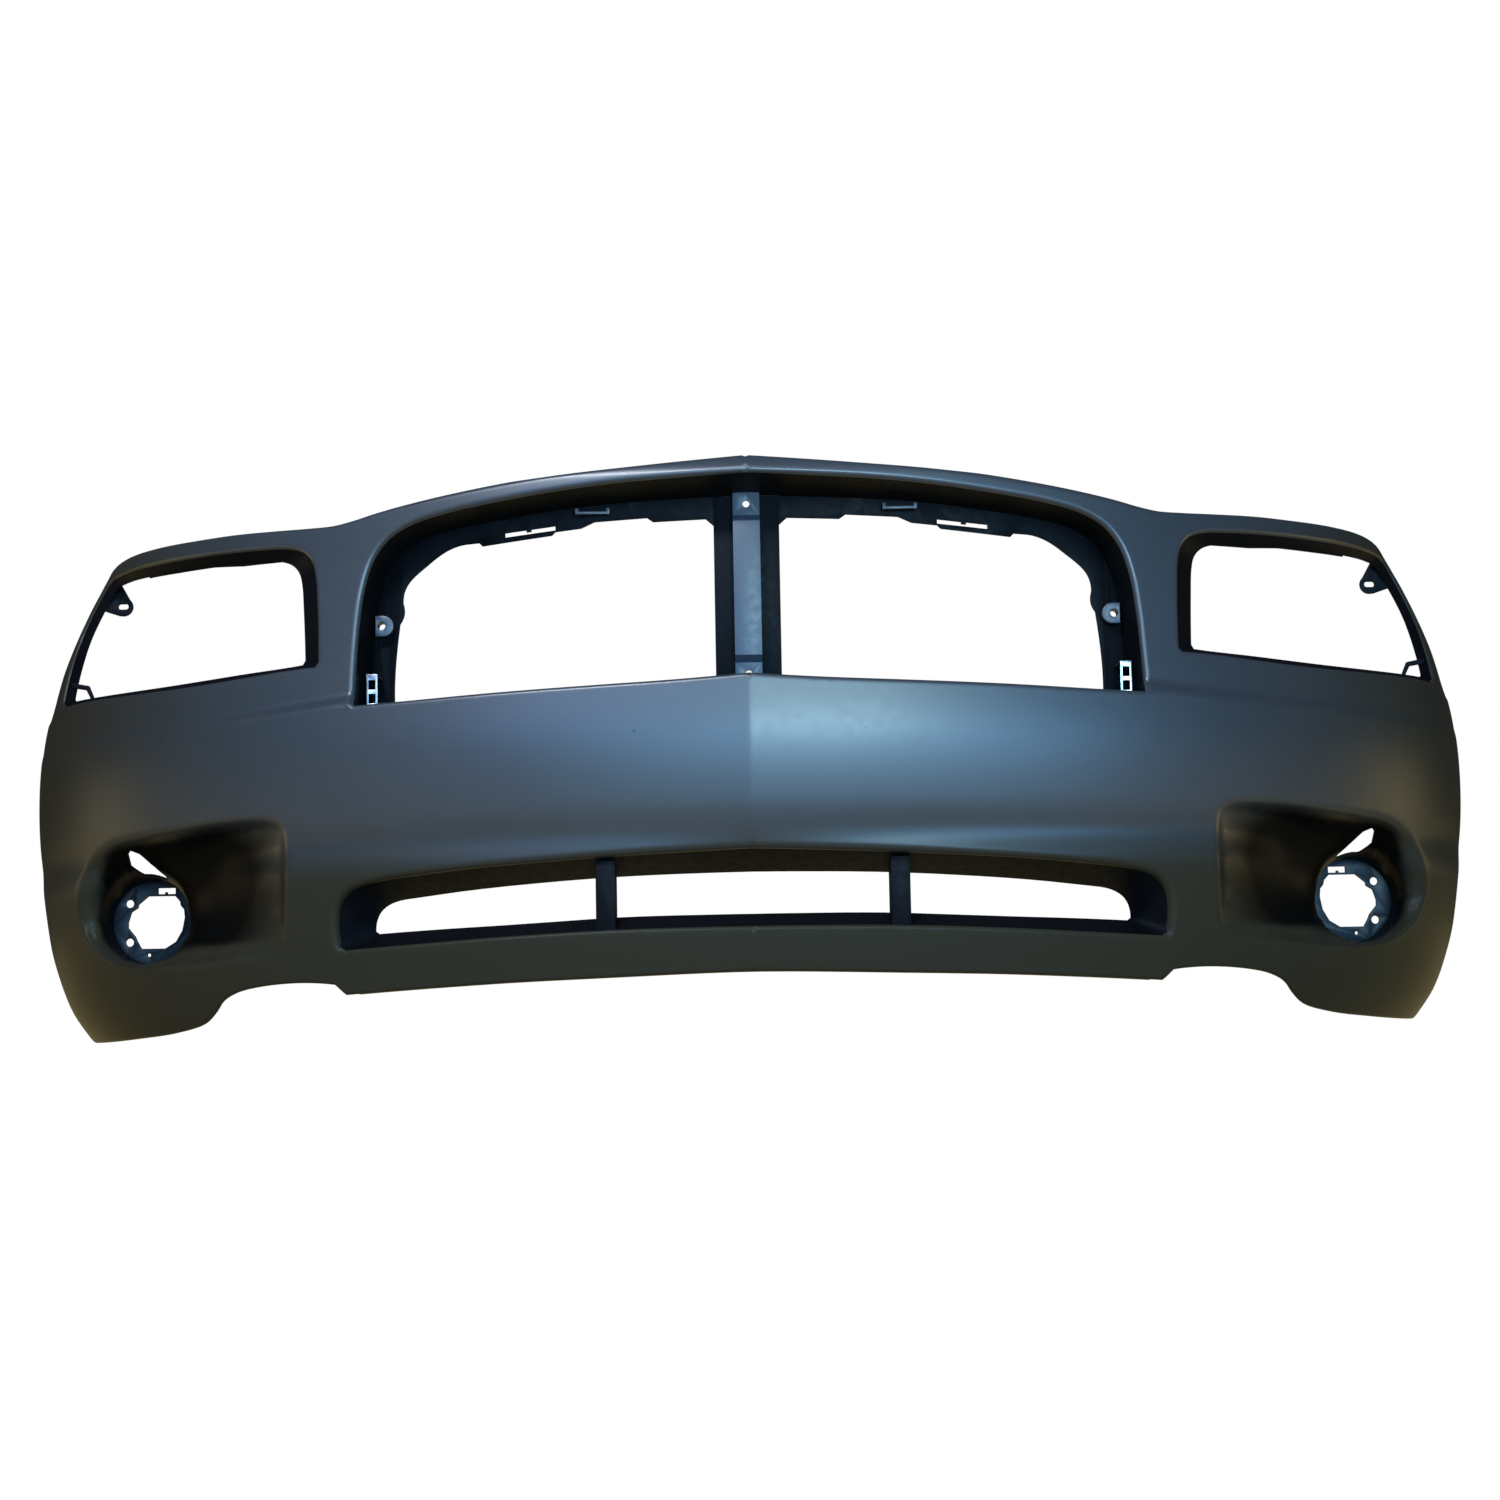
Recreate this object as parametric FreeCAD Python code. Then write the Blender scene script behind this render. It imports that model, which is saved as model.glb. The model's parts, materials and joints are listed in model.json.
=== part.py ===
"""Front bumper cover of a full-size saloon: a thin moulded skin with its inner surrounds, brackets and clips.

Nose frame, millimetres: X to the car's left, Y to its rear, Z up; X 0 is the centre plane, Y 0 the foremost
point and Z 0 the lowest edge. Every shape is made there and moved to the row frame as it is written.
"""
import FreeCAD, Part
import math
import os
from FreeCAD import Vector

# Overall plan shape: a superellipse quarter from the nose to the side.
HALF_WIDTH = 930.0
PLAN_DEPTH = 640.0
PLAN_N, PLAN_M = 2.2, 2.4
PROW_DEPTH, PROW_RUN = 12.0, 200.0      # the centre crease: how far the sides fall back, and over what run
WALL = 3.2                              # moulded wall
BRACKET = 3.0                           # bracket and flange wall
GAP = 0.3                               # bond line between a bonded piece and the skin

# Origin of the row frame: midpoint of the two upper fixing holes, on the tab's top face.
ORIGIN = Vector(0.0, 92.0, 644.0)

# Wheel arch at the rear of each wing.
ARCH_CENTRE_Y, ARCH_CENTRE_Z, ARCH_R = 955.0, 160.0, 388.0
WING_END_Y = 640.0
WING_TOP_Z = 414.0

# Grille, headlamp, intake and fog lamp interfaces.
GRILLE_DEPTH = 100.0                    # back flange behind the plan curve
HEADLAMP_DEPTH = 24.0                   # headlamp return behind the skin's outer face
INTAKE_DEPTH = 85.0                     # intake flange behind the plan curve
LEDGE = 28.0                            # width of the folded flanges
POST_FACE, POST_HALF, POST_STAND = 15.5, 38.0, 18.0
POST_HOLE_Z, POST_HOLE_R = (411.0, 609.0), 4.0
EAR_X, EAR_Z, EAR_R, EAR_HOLE_R = 428.0, 481.0, 12.0, 4.5
PLATE_MARK_X, PLATE_MARK_Z, PLATE_MARK_R, PLATE_MARK_DEPTH = 130.0, 338.0, 2.0, 1.6
UPPER_HOLE_X, UPPER_HOLE_R = 120.0, 4.5
FOG_X, FOG_Z, FOG_Y = 742.0, 151.5, 385.0
FOG_RING_R, FOG_RING_T = 52.0, 5.0
FOG_SCREWS, FOG_SCREW_R = ((32.0, 24.0), (32.0, -24.0)), 5.0
RIB_X, RIB_W, RIB_LEN = 166.0, 22.0, 46.0
FENDER_HOLES_Y, FENDER_HOLE_R = (500.0, 590.0), 3.5
ARCH_HOLES, ARCH_HOLE_R = (162.0, 186.0), 3.5      # angles round the arch, degrees
LOWER_HOLES_X, LOWER_HOLE_R = (100.0, 380.0), 3.5
HEADLAMP_HOLES_X, HEADLAMP_HOLE_R = (590.0, 710.0), 4.0


class Line:
    """A smooth line through a few stations: cubic between them, straight beyond the ends."""

    def __init__(self, *stations):
        self.at = [s[0] for s in stations]
        self.value = [s[1] for s in stations]
        last = len(stations) - 1
        self.slope = []
        for i in range(last + 1):
            a, b = max(i - 1, 0), min(i + 1, last)
            self.slope.append((self.value[b] - self.value[a]) / (self.at[b] - self.at[a]))

    def __call__(self, t):
        if t <= self.at[0]:
            return self.value[0] + self.slope[0] * (t - self.at[0])
        if t >= self.at[-1]:
            return self.value[-1] + self.slope[-1] * (t - self.at[-1])
        i = max(k for k, a in enumerate(self.at) if a <= t)
        h = self.at[i + 1] - self.at[i]
        u = (t - self.at[i]) / h
        return (self.value[i] * (1 + 2 * u) * (1 - u) ** 2 + self.value[i + 1] * u * u * (3 - 2 * u)
                + h * self.slope[i] * u * (1 - u) ** 2 - h * self.slope[i + 1] * u * u * (1 - u))


# How the sides draw in with height, the centre side view, and the height of the shoulder above the band.
tuck = Line((-12, .905), (0, .925), (20, .943), (45, .960), (80, .974), (130, .987), (226, .998), (300, 1.0),
            (380, .995), (430, .985), (480, .970), (545, .940), (605, .905), (690, .860))
side_view = Line((-12, 64), (0, 58), (51, 48), (118, 34), (205, 22), (260, 8), (330, 0), (400, 3),
                 (460, 8), (540, 11), (634, 11), (652, 22), (690, 70))
shoulder_z = Line((0, 402), (84, 396.5), (168, 393), (281, 388.5), (396, 383), (455, 381), (578, 370),
                  (711, 364), (800, 361), (930, 360))
SHOULDER_STEP, SHOULDER_RISE = 12.0, 16.0


def ramp(t):
    t = min(1.0, max(0.0, t))
    return t * t * (3 - 2 * t)


def plan_curve(x):
    """Depth of the plan curve at a reference half-width."""
    share = min(1.0, abs(x) / HALF_WIDTH)
    return PLAN_DEPTH * (1 - (1 - share ** PLAN_N) ** (1 / PLAN_M))


def outer(x, z):
    """A point of the outer surface from its reference half-width and height."""
    prow = PROW_DEPTH * ramp((z - 190) / 40) * (1 - math.exp(-abs(x) / PROW_RUN))
    step = SHOULDER_STEP * ramp((z - shoulder_z(x)) / SHOULDER_RISE) * (1 - 0.6 * ramp((x - 700) / 200))
    return Vector(x * tuck(z), plan_curve(x) + prow + side_view(z) + step, z)


def outer_y(x, z):
    """Depth of the outer surface at a true half-width and height."""
    return outer(abs(x) / tuck(z), z).y


def inner_y(x, z, depth=WALL):
    """Depth of the surface that lies `depth` inside the outer one, at a true half-width and height."""
    h = 0.5
    slope_x = (outer_y(abs(x) + h, z) - outer_y(abs(x) - h, z)) / (2 * h)
    slope_z = (outer_y(x, z + h) - outer_y(x, z - h)) / (2 * h)
    return outer_y(x, z) + depth * math.sqrt(1 + slope_x ** 2 + slope_z ** 2)


def arc_stations(count):
    """Reference half-widths spaced evenly along the plan curve."""
    fine = 600
    xs = [HALF_WIDTH * math.sin(math.pi / 2 * i / fine) ** (2 / PLAN_N) for i in range(fine + 1)]
    run = [0.0]
    for a, b in zip(xs, xs[1:]):
        run.append(run[-1] + math.hypot(b - a, plan_curve(b) - plan_curve(a)))
    found, k = [], 0
    for i in range(count):
        want = run[-1] * i / (count - 1)
        while k < fine - 1 and run[k + 1] < want:
            k += 1
        share = (want - run[k]) / (run[k + 1] - run[k])
        found.append(xs[k] + min(1.0, share) * (xs[k + 1] - xs[k]))
    return found


COLUMNS = arc_stations(34)
ROWS = [-12, 0, 18, 40, 65, 95, 130, 165, 190, 205, 222, 240, 265, 300, 335, 362, 382, 394, 402, 407, 412, 418,
        428, 450, 490, 540, 590, 620, 634, 646, 660, 690]


def row_height(x, z):
    """Rows bend with the shoulder, so that a row runs along it."""
    return z + (shoulder_z(x) - shoulder_z(0)) * ramp((z - 205) / 175)


def layer_grid(depth):
    """Points of the half surface that lies `depth` inside the outer one."""
    points = [[outer(x, row_height(x, z)) for z in ROWS] for x in COLUMNS]
    grid = []
    for i, column in enumerate(points):
        a, b = points[max(i - 1, 0)], points[min(i + 1, len(points) - 1)]
        line = []
        for j, p in enumerate(column):
            along = b[j] - a[j]
            up = column[min(j + 1, len(ROWS) - 1)] - column[max(j - 1, 0)]
            normal = along.cross(up).normalize()
            q = p - normal * depth
            if i == 0:
                q.x = 0.0
            line.append(q)
        grid.append(line)
    return grid


def layer(near, far):
    """Half of a shell between two depths inside the outer surface, as a closed solid."""
    faces = []
    for depth in (near, far):
        surface = Part.BSplineSurface()
        surface.interpolate(layer_grid(depth))
        faces.append(surface)
    shapes = [f.toShape() for f in faces]
    u0, u1, v0, v1 = faces[0].bounds()
    sides = []
    for pick in (lambda s: s.uIso(u0), lambda s: s.uIso(u1), lambda s: s.vIso(v0), lambda s: s.vIso(v1)):
        sides.append(Part.makeRuledSurface(pick(faces[0]).toShape(), pick(faces[1]).toShape()))
    return closed(shapes + sides)


def closed(faces):
    """A solid from faces that meet edge to edge."""
    sewn = Part.makeCompound(faces)
    sewn.sewShape(0.01)
    solid = Part.Solid(sewn.Shells[0])
    if solid.Volume < 0:
        solid.reverse()
    return solid


def biggest(shape):
    """The largest solid of a cut shape; slivers on the far side of a wall are dropped."""
    return max(shape.Solids, key=lambda solid: solid.Volume)


def mirrored(shape):
    return shape.mirror(Vector(0, 0, 0), Vector(1, 0, 0))


def edge(points):
    """A straight edge through two points, or a smooth one through more."""
    if len(points) == 2:
        return Part.makeLine(points[0], points[1])
    curve = Part.BSplineCurve()
    curve.interpolate(points)
    return curve.toShape()


def front_prism(pieces, y0, y1):
    """Extrudes a closed outline drawn in front view: pieces are lists of (x, z) that join end to end."""
    edges = [edge([Vector(x, y0, z) for x, z in piece]) for piece in pieces]
    return Part.Face(Part.Wire(edges)).extrude(Vector(0, y1 - y0, 0))


def polygon_prism(points, y0, y1):
    """Extrudes a straight-sided front-view outline."""
    ring = [Vector(x, y0, z) for x, z in points]
    return Part.Face(Part.makePolygon(ring + ring[:1])).extrude(Vector(0, y1 - y0, 0))


def ruled(a, b):
    """A face ruled between two edges that run the same way."""
    return Part.makeRuledSurface(a, b, 1)


def ring(loops, is_open=False):
    """A tubular wall: four loops of edge points (mouth, back, back outer, mouth outer), ruled one to the next."""
    faces = []
    for a, b in zip(loops, loops[1:] + loops[:1]):
        for piece_a, piece_b in zip(a, b):
            faces.append(ruled(edge(piece_a), edge(piece_b)))
    if is_open:
        for piece, end in ((0, 0), (-1, -1)):
            corners = [loop[piece][end] for loop in loops]
            faces.append(ruled(Part.makeLine(corners[0], corners[1]), Part.makeLine(corners[3], corners[2])))
    return closed(faces)


def offset_outline(pieces, distance, is_closed=True):
    """Moves an outline of (x, z) pieces sideways in front view; positive is to the left of its direction."""
    flat = [p for i, piece in enumerate(pieces) for p in (piece if i == 0 else piece[1:])]
    if is_closed:
        flat = flat[:-1]
    count = len(flat)
    moved = []
    for i, (x, z) in enumerate(flat):
        a = flat[(i - 1) % count] if is_closed or i > 0 else flat[i]
        b = flat[(i + 1) % count] if is_closed or i < count - 1 else flat[i]
        legs = []
        for p, q in ((a, (x, z)), ((x, z), b)):
            run = math.hypot(q[0] - p[0], q[1] - p[1])
            if run > 1e-9:
                legs.append((-(q[1] - p[1]) / run, (q[0] - p[0]) / run))
        nx, nz = sum(n[0] for n in legs), sum(n[1] for n in legs)
        size = math.hypot(nx, nz)
        nx, nz = nx / size, nz / size
        stretch = min(1.6, 1 / max(0.4, nx * legs[0][0] + nz * legs[0][1]))
        moved.append((x + nx * distance * stretch, z + nz * distance * stretch))
    if is_closed:
        moved.append(moved[0])
    out, at = [], 0
    for piece in pieces:
        out.append(moved[at:at + len(piece)])
        at += len(piece) - 1
    return out


def both_halves(half_pieces):
    """A closed front-view outline from the pieces of its right half, which run from centre line to centre line."""
    other = [[(-x, z) for x, z in reversed(piece)] for piece in reversed(half_pieces)]
    return half_pieces + other


def behind(depth, high=800.0, low=-80.0):
    """Everything behind the plan curve moved back by a depth, on both sides of the centre."""
    xs = COLUMNS[:-2]
    curve = [(x, plan_curve(x) + depth) for x in xs]
    curve = [(-x, y) for x, y in reversed(curve[1:])] + curve
    line = [Vector(x, y, low) for x, y in curve]
    corners = [line[-1], Vector(line[-1].x, REAR + depth, low), Vector(line[0].x, REAR + depth, low), line[0]]
    wire = Part.Wire([edge(line), Part.makePolygon(corners).Edges[0], Part.makePolygon(corners).Edges[1],
                      Part.makePolygon(corners).Edges[2]])
    return Part.Face(wire).extrude(Vector(0, 0, high - low))


def sheet(near, far):
    """A wall between two depths behind the plan curve, the full height of the part."""
    return behind(near).cut(behind(far))


def tube(x, y, z, radius, length, axis):
    return Part.makeCylinder(radius, length, Vector(x, y, z), axis)


def box(x0, x1, y0, y1, z0, z1):
    return Part.makeBox(x1 - x0, y1 - y0, z1 - z0, Vector(x0, y0, z0))


ALONG_X, ALONG_Y, ALONG_Z = Vector(1, 0, 0), Vector(0, 1, 0), Vector(0, 0, 1)
FRONT, REAR = -80.0, 760.0

# Front-view outlines, (x, z), for the +X half.
TOP_EDGE = [(0, 660), (70, 654), (137, 648), (206, 642), (276, 634), (347, 624), (395, 616), (431, 609),
            (457, 603), (482, 599), (510, 599), (555, 601), (610, 604), (666, 606), (728, 609), (790, 611),
            (830, 608)]
LOWER_EDGE = [[(0, 68), (66, 67), (168, 64), (271, 61), (341, 58), (411, 54.5), (469, 51)],
              [(469, 51), (482, 63)],
              [(482, 63), (525, 66), (575, 63), (605, 57), (623, 48), (634, 35), (650, 22), (690, 12),
               (750, 6), (805, 3), (870, 2)]]
GRILLE_MOUTH = [[(0, 402), (84, 396.5), (168, 393), (281, 388.5), (396, 383), (452, 381)],
                [(452, 381), (455, 384)],
                [(455, 384), (453, 430), (450, 476), (444, 520), (433, 553), (415, 576), (388, 591), (345, 602),
                 (281, 612), (218, 620), (154, 626), (84, 630), (0, 634)]]
HEADLAMP_MOUTH = [[(503, 431), (541, 429), (591, 425), (643, 421.5), (697, 420), (780, 421), (858, 424)],
                  [(858, 424), (863, 430)],
                  [(863, 430), (858, 470), (848, 518), (829, 560), (813, 584)],
                  [(813, 584), (805, 589)],
                  [(805, 589), (767, 587), (700, 584), (613, 581), (575, 579), (540, 576), (520, 569), (509, 557),
                   (504, 538), (501, 500), (499, 436)],
                  [(499, 436), (503, 431)]]
INTAKE_MOUTH = [[(0, 118.5), (60, 118.5), (168, 117), (282, 112.5), (398, 106), (468, 102)],
                [(468, 102), (474, 106)],
                [(474, 106), (477, 130), (474, 152), (461, 168), (427, 178), (374, 184), (281, 192), (168, 199),
                 (55, 203), (0, 204)]]
INTAKE_BACK = [[(0, 135), (50, 135), (150, 134), (262, 129), (368, 125), (432, 122)],
               [(432, 122), (436, 125)],
               [(436, 125), (435, 136), (430, 147), (416, 157), (390, 162), (345, 167), (262, 174), (155, 180),
                (50, 182.5), (0, 183)]]
FOG_MOUTH = [(539, 246), (550, 254), (590, 255), (645, 252), (704, 247), (758, 242), (788, 232), (812, 213),
             (826, 192), (829, 172), (824, 148), (809, 126), (784, 107), (750, 97), (700, 93), (640, 95),
             (590, 99), (552, 104), (541, 116), (539, 150), (538, 200)]


OVER = -20.0                            # half cutters reach this far past the centre plane


def half_cutter(half_outline):
    """A front-view cutter for an opening that crosses the centre, from the outline of its right half."""
    (xa, za), (xb, zb) = half_outline[0][0], half_outline[-1][-1]
    return front_prism(half_outline + [[(xb, zb), (OVER, zb)], [(OVER, zb), (OVER, za)], [(OVER, za), (xa, za)]],
                       FRONT, REAR)


def half_skin():
    """The skin's half shell, cut to its edges and openings."""
    shell = layer(0.0, WALL)
    above = half_cutter([TOP_EDGE, [(830, 608), (1000, 608)], [(1000, 608), (1000, 800)], [(1000, 800), (0, 800)]])
    below = half_cutter(LOWER_EDGE + [[(870, 2), (1000, 2)], [(1000, 2), (1000, -60)], [(1000, -60), (0, -60)]])
    for cutter in (above, below, wing_cutter(), half_cutter(GRILLE_MOUTH), half_cutter(INTAKE_MOUTH),
                   front_prism(HEADLAMP_MOUTH, FRONT, REAR), fog_cutter(), plate_mark()):
        shell = shell.cut(cutter)
    return shell


def plate_mark():
    """A blind pilot mark for a registration plate screw."""
    start = outer_y(PLATE_MARK_X, PLATE_MARK_Z) - 5
    return tube(PLATE_MARK_X, start, PLATE_MARK_Z, PLATE_MARK_R, 5 + PLATE_MARK_DEPTH, ALONG_Y)


# The half skin is one moulding; it is written as panels, (x from, x to, z from, z to), that meet face to face.
PANELS = ((-10, 300, 405, 700), (300, 505, 560, 700), (300, 505, 405, 560), (505, 1000, 560, 700),
          (505, 1000, 431, 560), (505, 830, 280, 431), (830, 1000, 280, 431), (-10, 505, 205, 405),
          (-10, 505, 150, 205), (-10, 505, -20, 150), (505, 830, 150, 280), (505, 830, -20, 150),
          (830, 1000, -20, 280))


def skin_panels():
    """The skin as simple panels: the left half's, then the right half's."""
    half = half_skin()
    panels = []
    for x0, x1, z0, z1 in PANELS:
        panels += half.common(box(x0, x1, FRONT, REAR, z0, z1)).Solids
    return panels + [mirrored(panel) for panel in panels]


def wing_cutter():
    """Everything behind the headlamp's outer strip, above the wing and inside the wheel arch."""
    outline = [(452, 800), (452, 560), (448, 480), (438, 432), (446, WING_TOP_Z), (WING_END_Y, WING_TOP_Z - 14),
               (WING_END_Y, -60), (REAR, -60), (REAR, 800)]
    ring_points = [Vector(500, y, z) for y, z in outline]
    space = Part.Face(Part.makePolygon(ring_points + ring_points[:1])).extrude(Vector(500, 0, 0))
    arch = tube(500, ARCH_CENTRE_Y, ARCH_CENTRE_Z, ARCH_R, 500, ALONG_X)
    return space.fuse(arch)


def fog_cutter():
    return front_prism([FOG_MOUTH + FOG_MOUTH[:1]], FRONT, REAR)


def fog_ring_point(x, z, radius, y):
    angle = math.atan2(z - FOG_Z, x - FOG_X)
    return Vector(FOG_X + radius * math.cos(angle), y, FOG_Z + radius * math.sin(angle))


def fog_scoop():
    """The scoop's wall, ruled from its mouth on the skin to the round seat of the lamp."""
    mouth = [FOG_MOUTH + FOG_MOUTH[:1]]
    wide = offset_outline(mouth, WALL)
    edge_in = [[Vector(x, inner_y(x, z, WALL + GAP), z) for x, z in mouth[0]]]
    edge_out = [[Vector(x, inner_y(x, z, WALL + GAP), z) for x, z in wide[0]]]
    seat_in = [[fog_ring_point(x, z, FOG_RING_R, FOG_Y) for x, z in mouth[0]]]
    seat_out = [[fog_ring_point(x, z, FOG_RING_R + WALL, FOG_Y) for x, z in mouth[0]]]
    return ring([edge_in, seat_in, seat_out, edge_out])


# Back outlines of the surrounds, piece for piece with the mouths they start from.
GRILLE_BACK = [[(0, 392), (84, 388), (168, 385), (281, 381), (396, 378), (438, 377)],
               [(438, 377), (442, 380)],
               [(442, 380), (440, 430), (437, 476), (431, 517), (420, 547), (403, 569), (378, 583), (338, 593),
                (276, 602), (214, 610), (151, 615), (83, 618), (0, 621)]]
GRILLE_THROUGH = [[(POST_HALF, 400), (250, 396), (414, 393)],
                  [(414, 393), (413, 430), (410, 461), (407, 484)],
                  [(407, 484), (402, 494), (403, 508)],
                  [(403, 508), (396, 532), (377, 549), (353, 566), (329, 574)],
                  [(329, 574), (312, 575)], [(312, 575), (308, 571)], [(308, 571), (226, 580)],
                  [(226, 580), (222, 584)], [(222, 584), (192, 587)], [(192, 587), (176, 594)],
                  [(176, 594), (115, 597)], [(115, 597), (108, 592)], [(108, 592), (47, 594)],
                  [(47, 594), (POST_HALF, 586)], [(POST_HALF, 586), (POST_HALF, 400)]]


def surround(mouth, back, depth, front_depth=WALL + GAP):
    """A tubular return from an opening's edge on the inside of the skin to a line behind the plan curve."""
    wide_mouth, wide_back = offset_outline(mouth, -BRACKET), offset_outline(back, -BRACKET)
    on_skin = lambda outline: [[Vector(x, inner_y(x, z, front_depth), z) for x, z in piece] for piece in outline]
    on_back = lambda outline: [[Vector(x, plan_curve(x) + depth, z) for x, z in piece] for piece in outline]
    return ring([on_skin(mouth), on_back(back), on_back(wide_back), on_skin(wide_mouth)])


def grille_surround():
    return surround(both_halves(GRILLE_MOUTH), both_halves(GRILLE_BACK), GRILLE_DEPTH)


def grille_flange():
    """The back flange round the left grille opening, with a long slot and its holes."""
    outline = offset_outline(both_halves(GRILLE_BACK), -BRACKET)
    plate = front_prism(outline, 0, 500).common(sheet(GRILLE_DEPTH + 0.05, GRILLE_DEPTH + BRACKET))
    plate = plate.cut(front_prism(GRILLE_THROUGH, 0, 500)).cut(box(-600, POST_HALF, 0, 500, 300, 700))
    slot = polygon_prism([(222, 586), (281, 580), (281, 585), (256, 587.5), (256, 585), (250, 585.6), (250, 588),
                          (222, 591)], 0, 500)
    return plate.cut(slot).cut(tube(EAR_X, 0, EAR_Z, EAR_HOLE_R, 500, ALONG_Y))


def centre_post():
    """The channel between the two grille openings: its face stands in front of the flange on two webs."""
    back = plan_curve(0) + GRILLE_DEPTH
    face = back - POST_STAND
    low, high = 379.0, 624.0
    steps = [(face + 8, low), (face + 8, 424), (face, 432), (face, 588), (face + 8, 596), (face + 8, high)]
    profile = steps + [(y + BRACKET, z) for y, z in reversed(steps)]
    line = [Vector(-POST_FACE, y, z) for y, z in profile]
    post = Part.Face(Part.makePolygon(line + line[:1])).extrude(Vector(2 * POST_FACE, 0, 0))
    for side in (-1, 1):
        web = Part.Face(Part.makePolygon([Vector(0, y, z) for y, z in steps + [(back, high), (back, low), steps[0]]]))
        post = post.fuse(web.extrude(Vector(BRACKET, 0, 0)).translated(Vector(
            POST_FACE - BRACKET if side > 0 else -POST_FACE, 0, 0)))
    foot = box(-POST_HALF, POST_HALF, back, back + BRACKET + 1, low, high)
    post = post.fuse(foot.cut(box(-POST_FACE + BRACKET, POST_FACE - BRACKET, 0, 500, low + 8, high - 8)))
    for z in POST_HOLE_Z:
        post = post.cut(tube(0, 0, z, POST_HOLE_R, 500, ALONG_Y))
    return post.cut(grille_surround()).removeSplitter()


def grille_ear():
    """A D-shaped ear on the front of the flange, with a through hole."""
    front = plan_curve(EAR_X - EAR_R) + GRILLE_DEPTH - 12
    x = EAR_X - 2
    arc = Part.Arc(Vector(x, front, EAR_Z + EAR_R), Vector(x - EAR_R, front, EAR_Z),
                   Vector(x, front, EAR_Z - EAR_R)).toShape()
    low, high = Vector(x + 9, front, EAR_Z - EAR_R), Vector(x + 9, front, EAR_Z + EAR_R)
    sides = [Part.makeLine(Vector(x, front, EAR_Z - EAR_R), low), Part.makeLine(low, high),
             Part.makeLine(high, Vector(x, front, EAR_Z + EAR_R))]
    ear = Part.Face(Part.Wire([arc] + sides)).extrude(Vector(0, 60, 0))
    return ear.cut(behind(GRILLE_DEPTH)).cut(tube(EAR_X, front - 10, EAR_Z, EAR_HOLE_R, 100, ALONG_Y))


def side_clip():
    """A folded spring retainer with two square windows, standing off the flange's lower outer corner."""
    x, front = 436.0, plan_curve(430) + GRILLE_DEPTH - 42
    clip = box(x - 6.5, x + 6.5, front, front + 1.5, 381, 421)
    for z in (387, 403):
        clip = clip.cut(box(x - 4, x + 4, front - 5, front + 10, z, z + 11))
    for z in (381, 419.5):
        clip = clip.fuse(box(x - 6.5, x + 1, front, front + 80, z, z + 1.5))
    return clip.cut(behind(GRILLE_DEPTH)).cut(grille_surround()).removeSplitter()


def top_clip():
    """A small bar with raised ends, on two short legs in front of the upper flange."""
    x, z, front = 178.0, 601.0, plan_curve(178) + GRILLE_DEPTH - 14
    bar = box(x - 20, x + 20, front, front + 3, z, z + 3)
    for side in (-1, 1):
        bar = bar.fuse(box(x + side * 18 - 2, x + side * 18 + 2, front, front + 60, z, z + 7))
    return bar.cut(behind(GRILLE_DEPTH)).removeSplitter()


HEADLAMP_BACK = [[(520, 437), (541, 435), (591, 432), (643, 429), (697, 427), (776, 427), (842, 430)],
                 [(842, 430), (846, 435)],
                 [(846, 435), (841, 470), (831, 514), (812, 551), (797, 572)],
                 [(797, 572), (788, 576)],
                 [(788, 576), (760, 575), (699, 573), (614, 570), (580, 568), (552, 565), (536, 559), (527, 549),
                  (523, 535), (520, 500), (517, 442)],
                 [(517, 442), (520, 437)]]


def headlamp_surround():
    """The return all round the headlamp opening."""
    mouth, back = HEADLAMP_MOUTH, HEADLAMP_BACK
    wide_mouth, wide_back = offset_outline(mouth, -BRACKET), offset_outline(back, -BRACKET)
    on_skin = lambda outline: [[Vector(x, inner_y(x, z, WALL + GAP), z) for x, z in piece] for piece in outline]
    on_back = lambda outline: [[Vector(x, outer_y(x, z) + HEADLAMP_DEPTH, z) for x, z in piece]
                               for piece in outline]
    return ring([on_skin(mouth), on_back(back), on_back(wide_back), on_skin(wide_mouth)])


def headlamp_back_y(x):
    return outer_y(x, 570) + HEADLAMP_DEPTH


def headlamp_bracket():
    """The roof bracket over the headlamp: a ledge behind the upper bar with its row of fixings."""
    xs = [528 + 26 * i for i in range(9)]
    y0 = [headlamp_back_y(x) + 0.6 for x in xs]
    line = [Vector(x, y, 500) for x, y in zip(xs, y0)]
    rear = [Vector(x, y + LEDGE, 500) for x, y in zip(reversed(xs), reversed(y0))]
    plan = Part.Face(Part.Wire([edge(line), Part.makeLine(line[-1], rear[0]), edge(rear),
                                Part.makeLine(rear[-1], line[0])]))
    ledge = plan.extrude(Vector(0, 0, BRACKET)).translated(Vector(0, 0, 80))
    near = [Vector(x, y + BRACKET, 500) for x, y in zip(reversed(xs), reversed(y0))]
    wall_plan = Part.Face(Part.Wire([edge(line), Part.makeLine(line[-1], near[0]), edge(near),
                                     Part.makeLine(near[-1], line[0])]))
    wall = wall_plan.extrude(Vector(0, 0, 24)).translated(Vector(0, 0, 59))
    notch = polygon_prism([(500, 500), (500, 561), (545, 565), (600, 566), (640, 570), (690, 571), (745, 573),
                           (760, 500)], 0, 500)
    bracket = ledge.fuse(wall).cut(notch)
    for x in HEADLAMP_HOLES_X:
        bracket = bracket.cut(tube(x, headlamp_back_y(x) + LEDGE * 0.62, 500, HEADLAMP_HOLE_R, 200, ALONG_Z))
    mid = headlamp_back_y(650) + LEDGE * 0.6
    return bracket.cut(box(642, 658, mid - 4, mid + 4, 500, 700)).cut(headlamp_surround()).removeSplitter()


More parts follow.
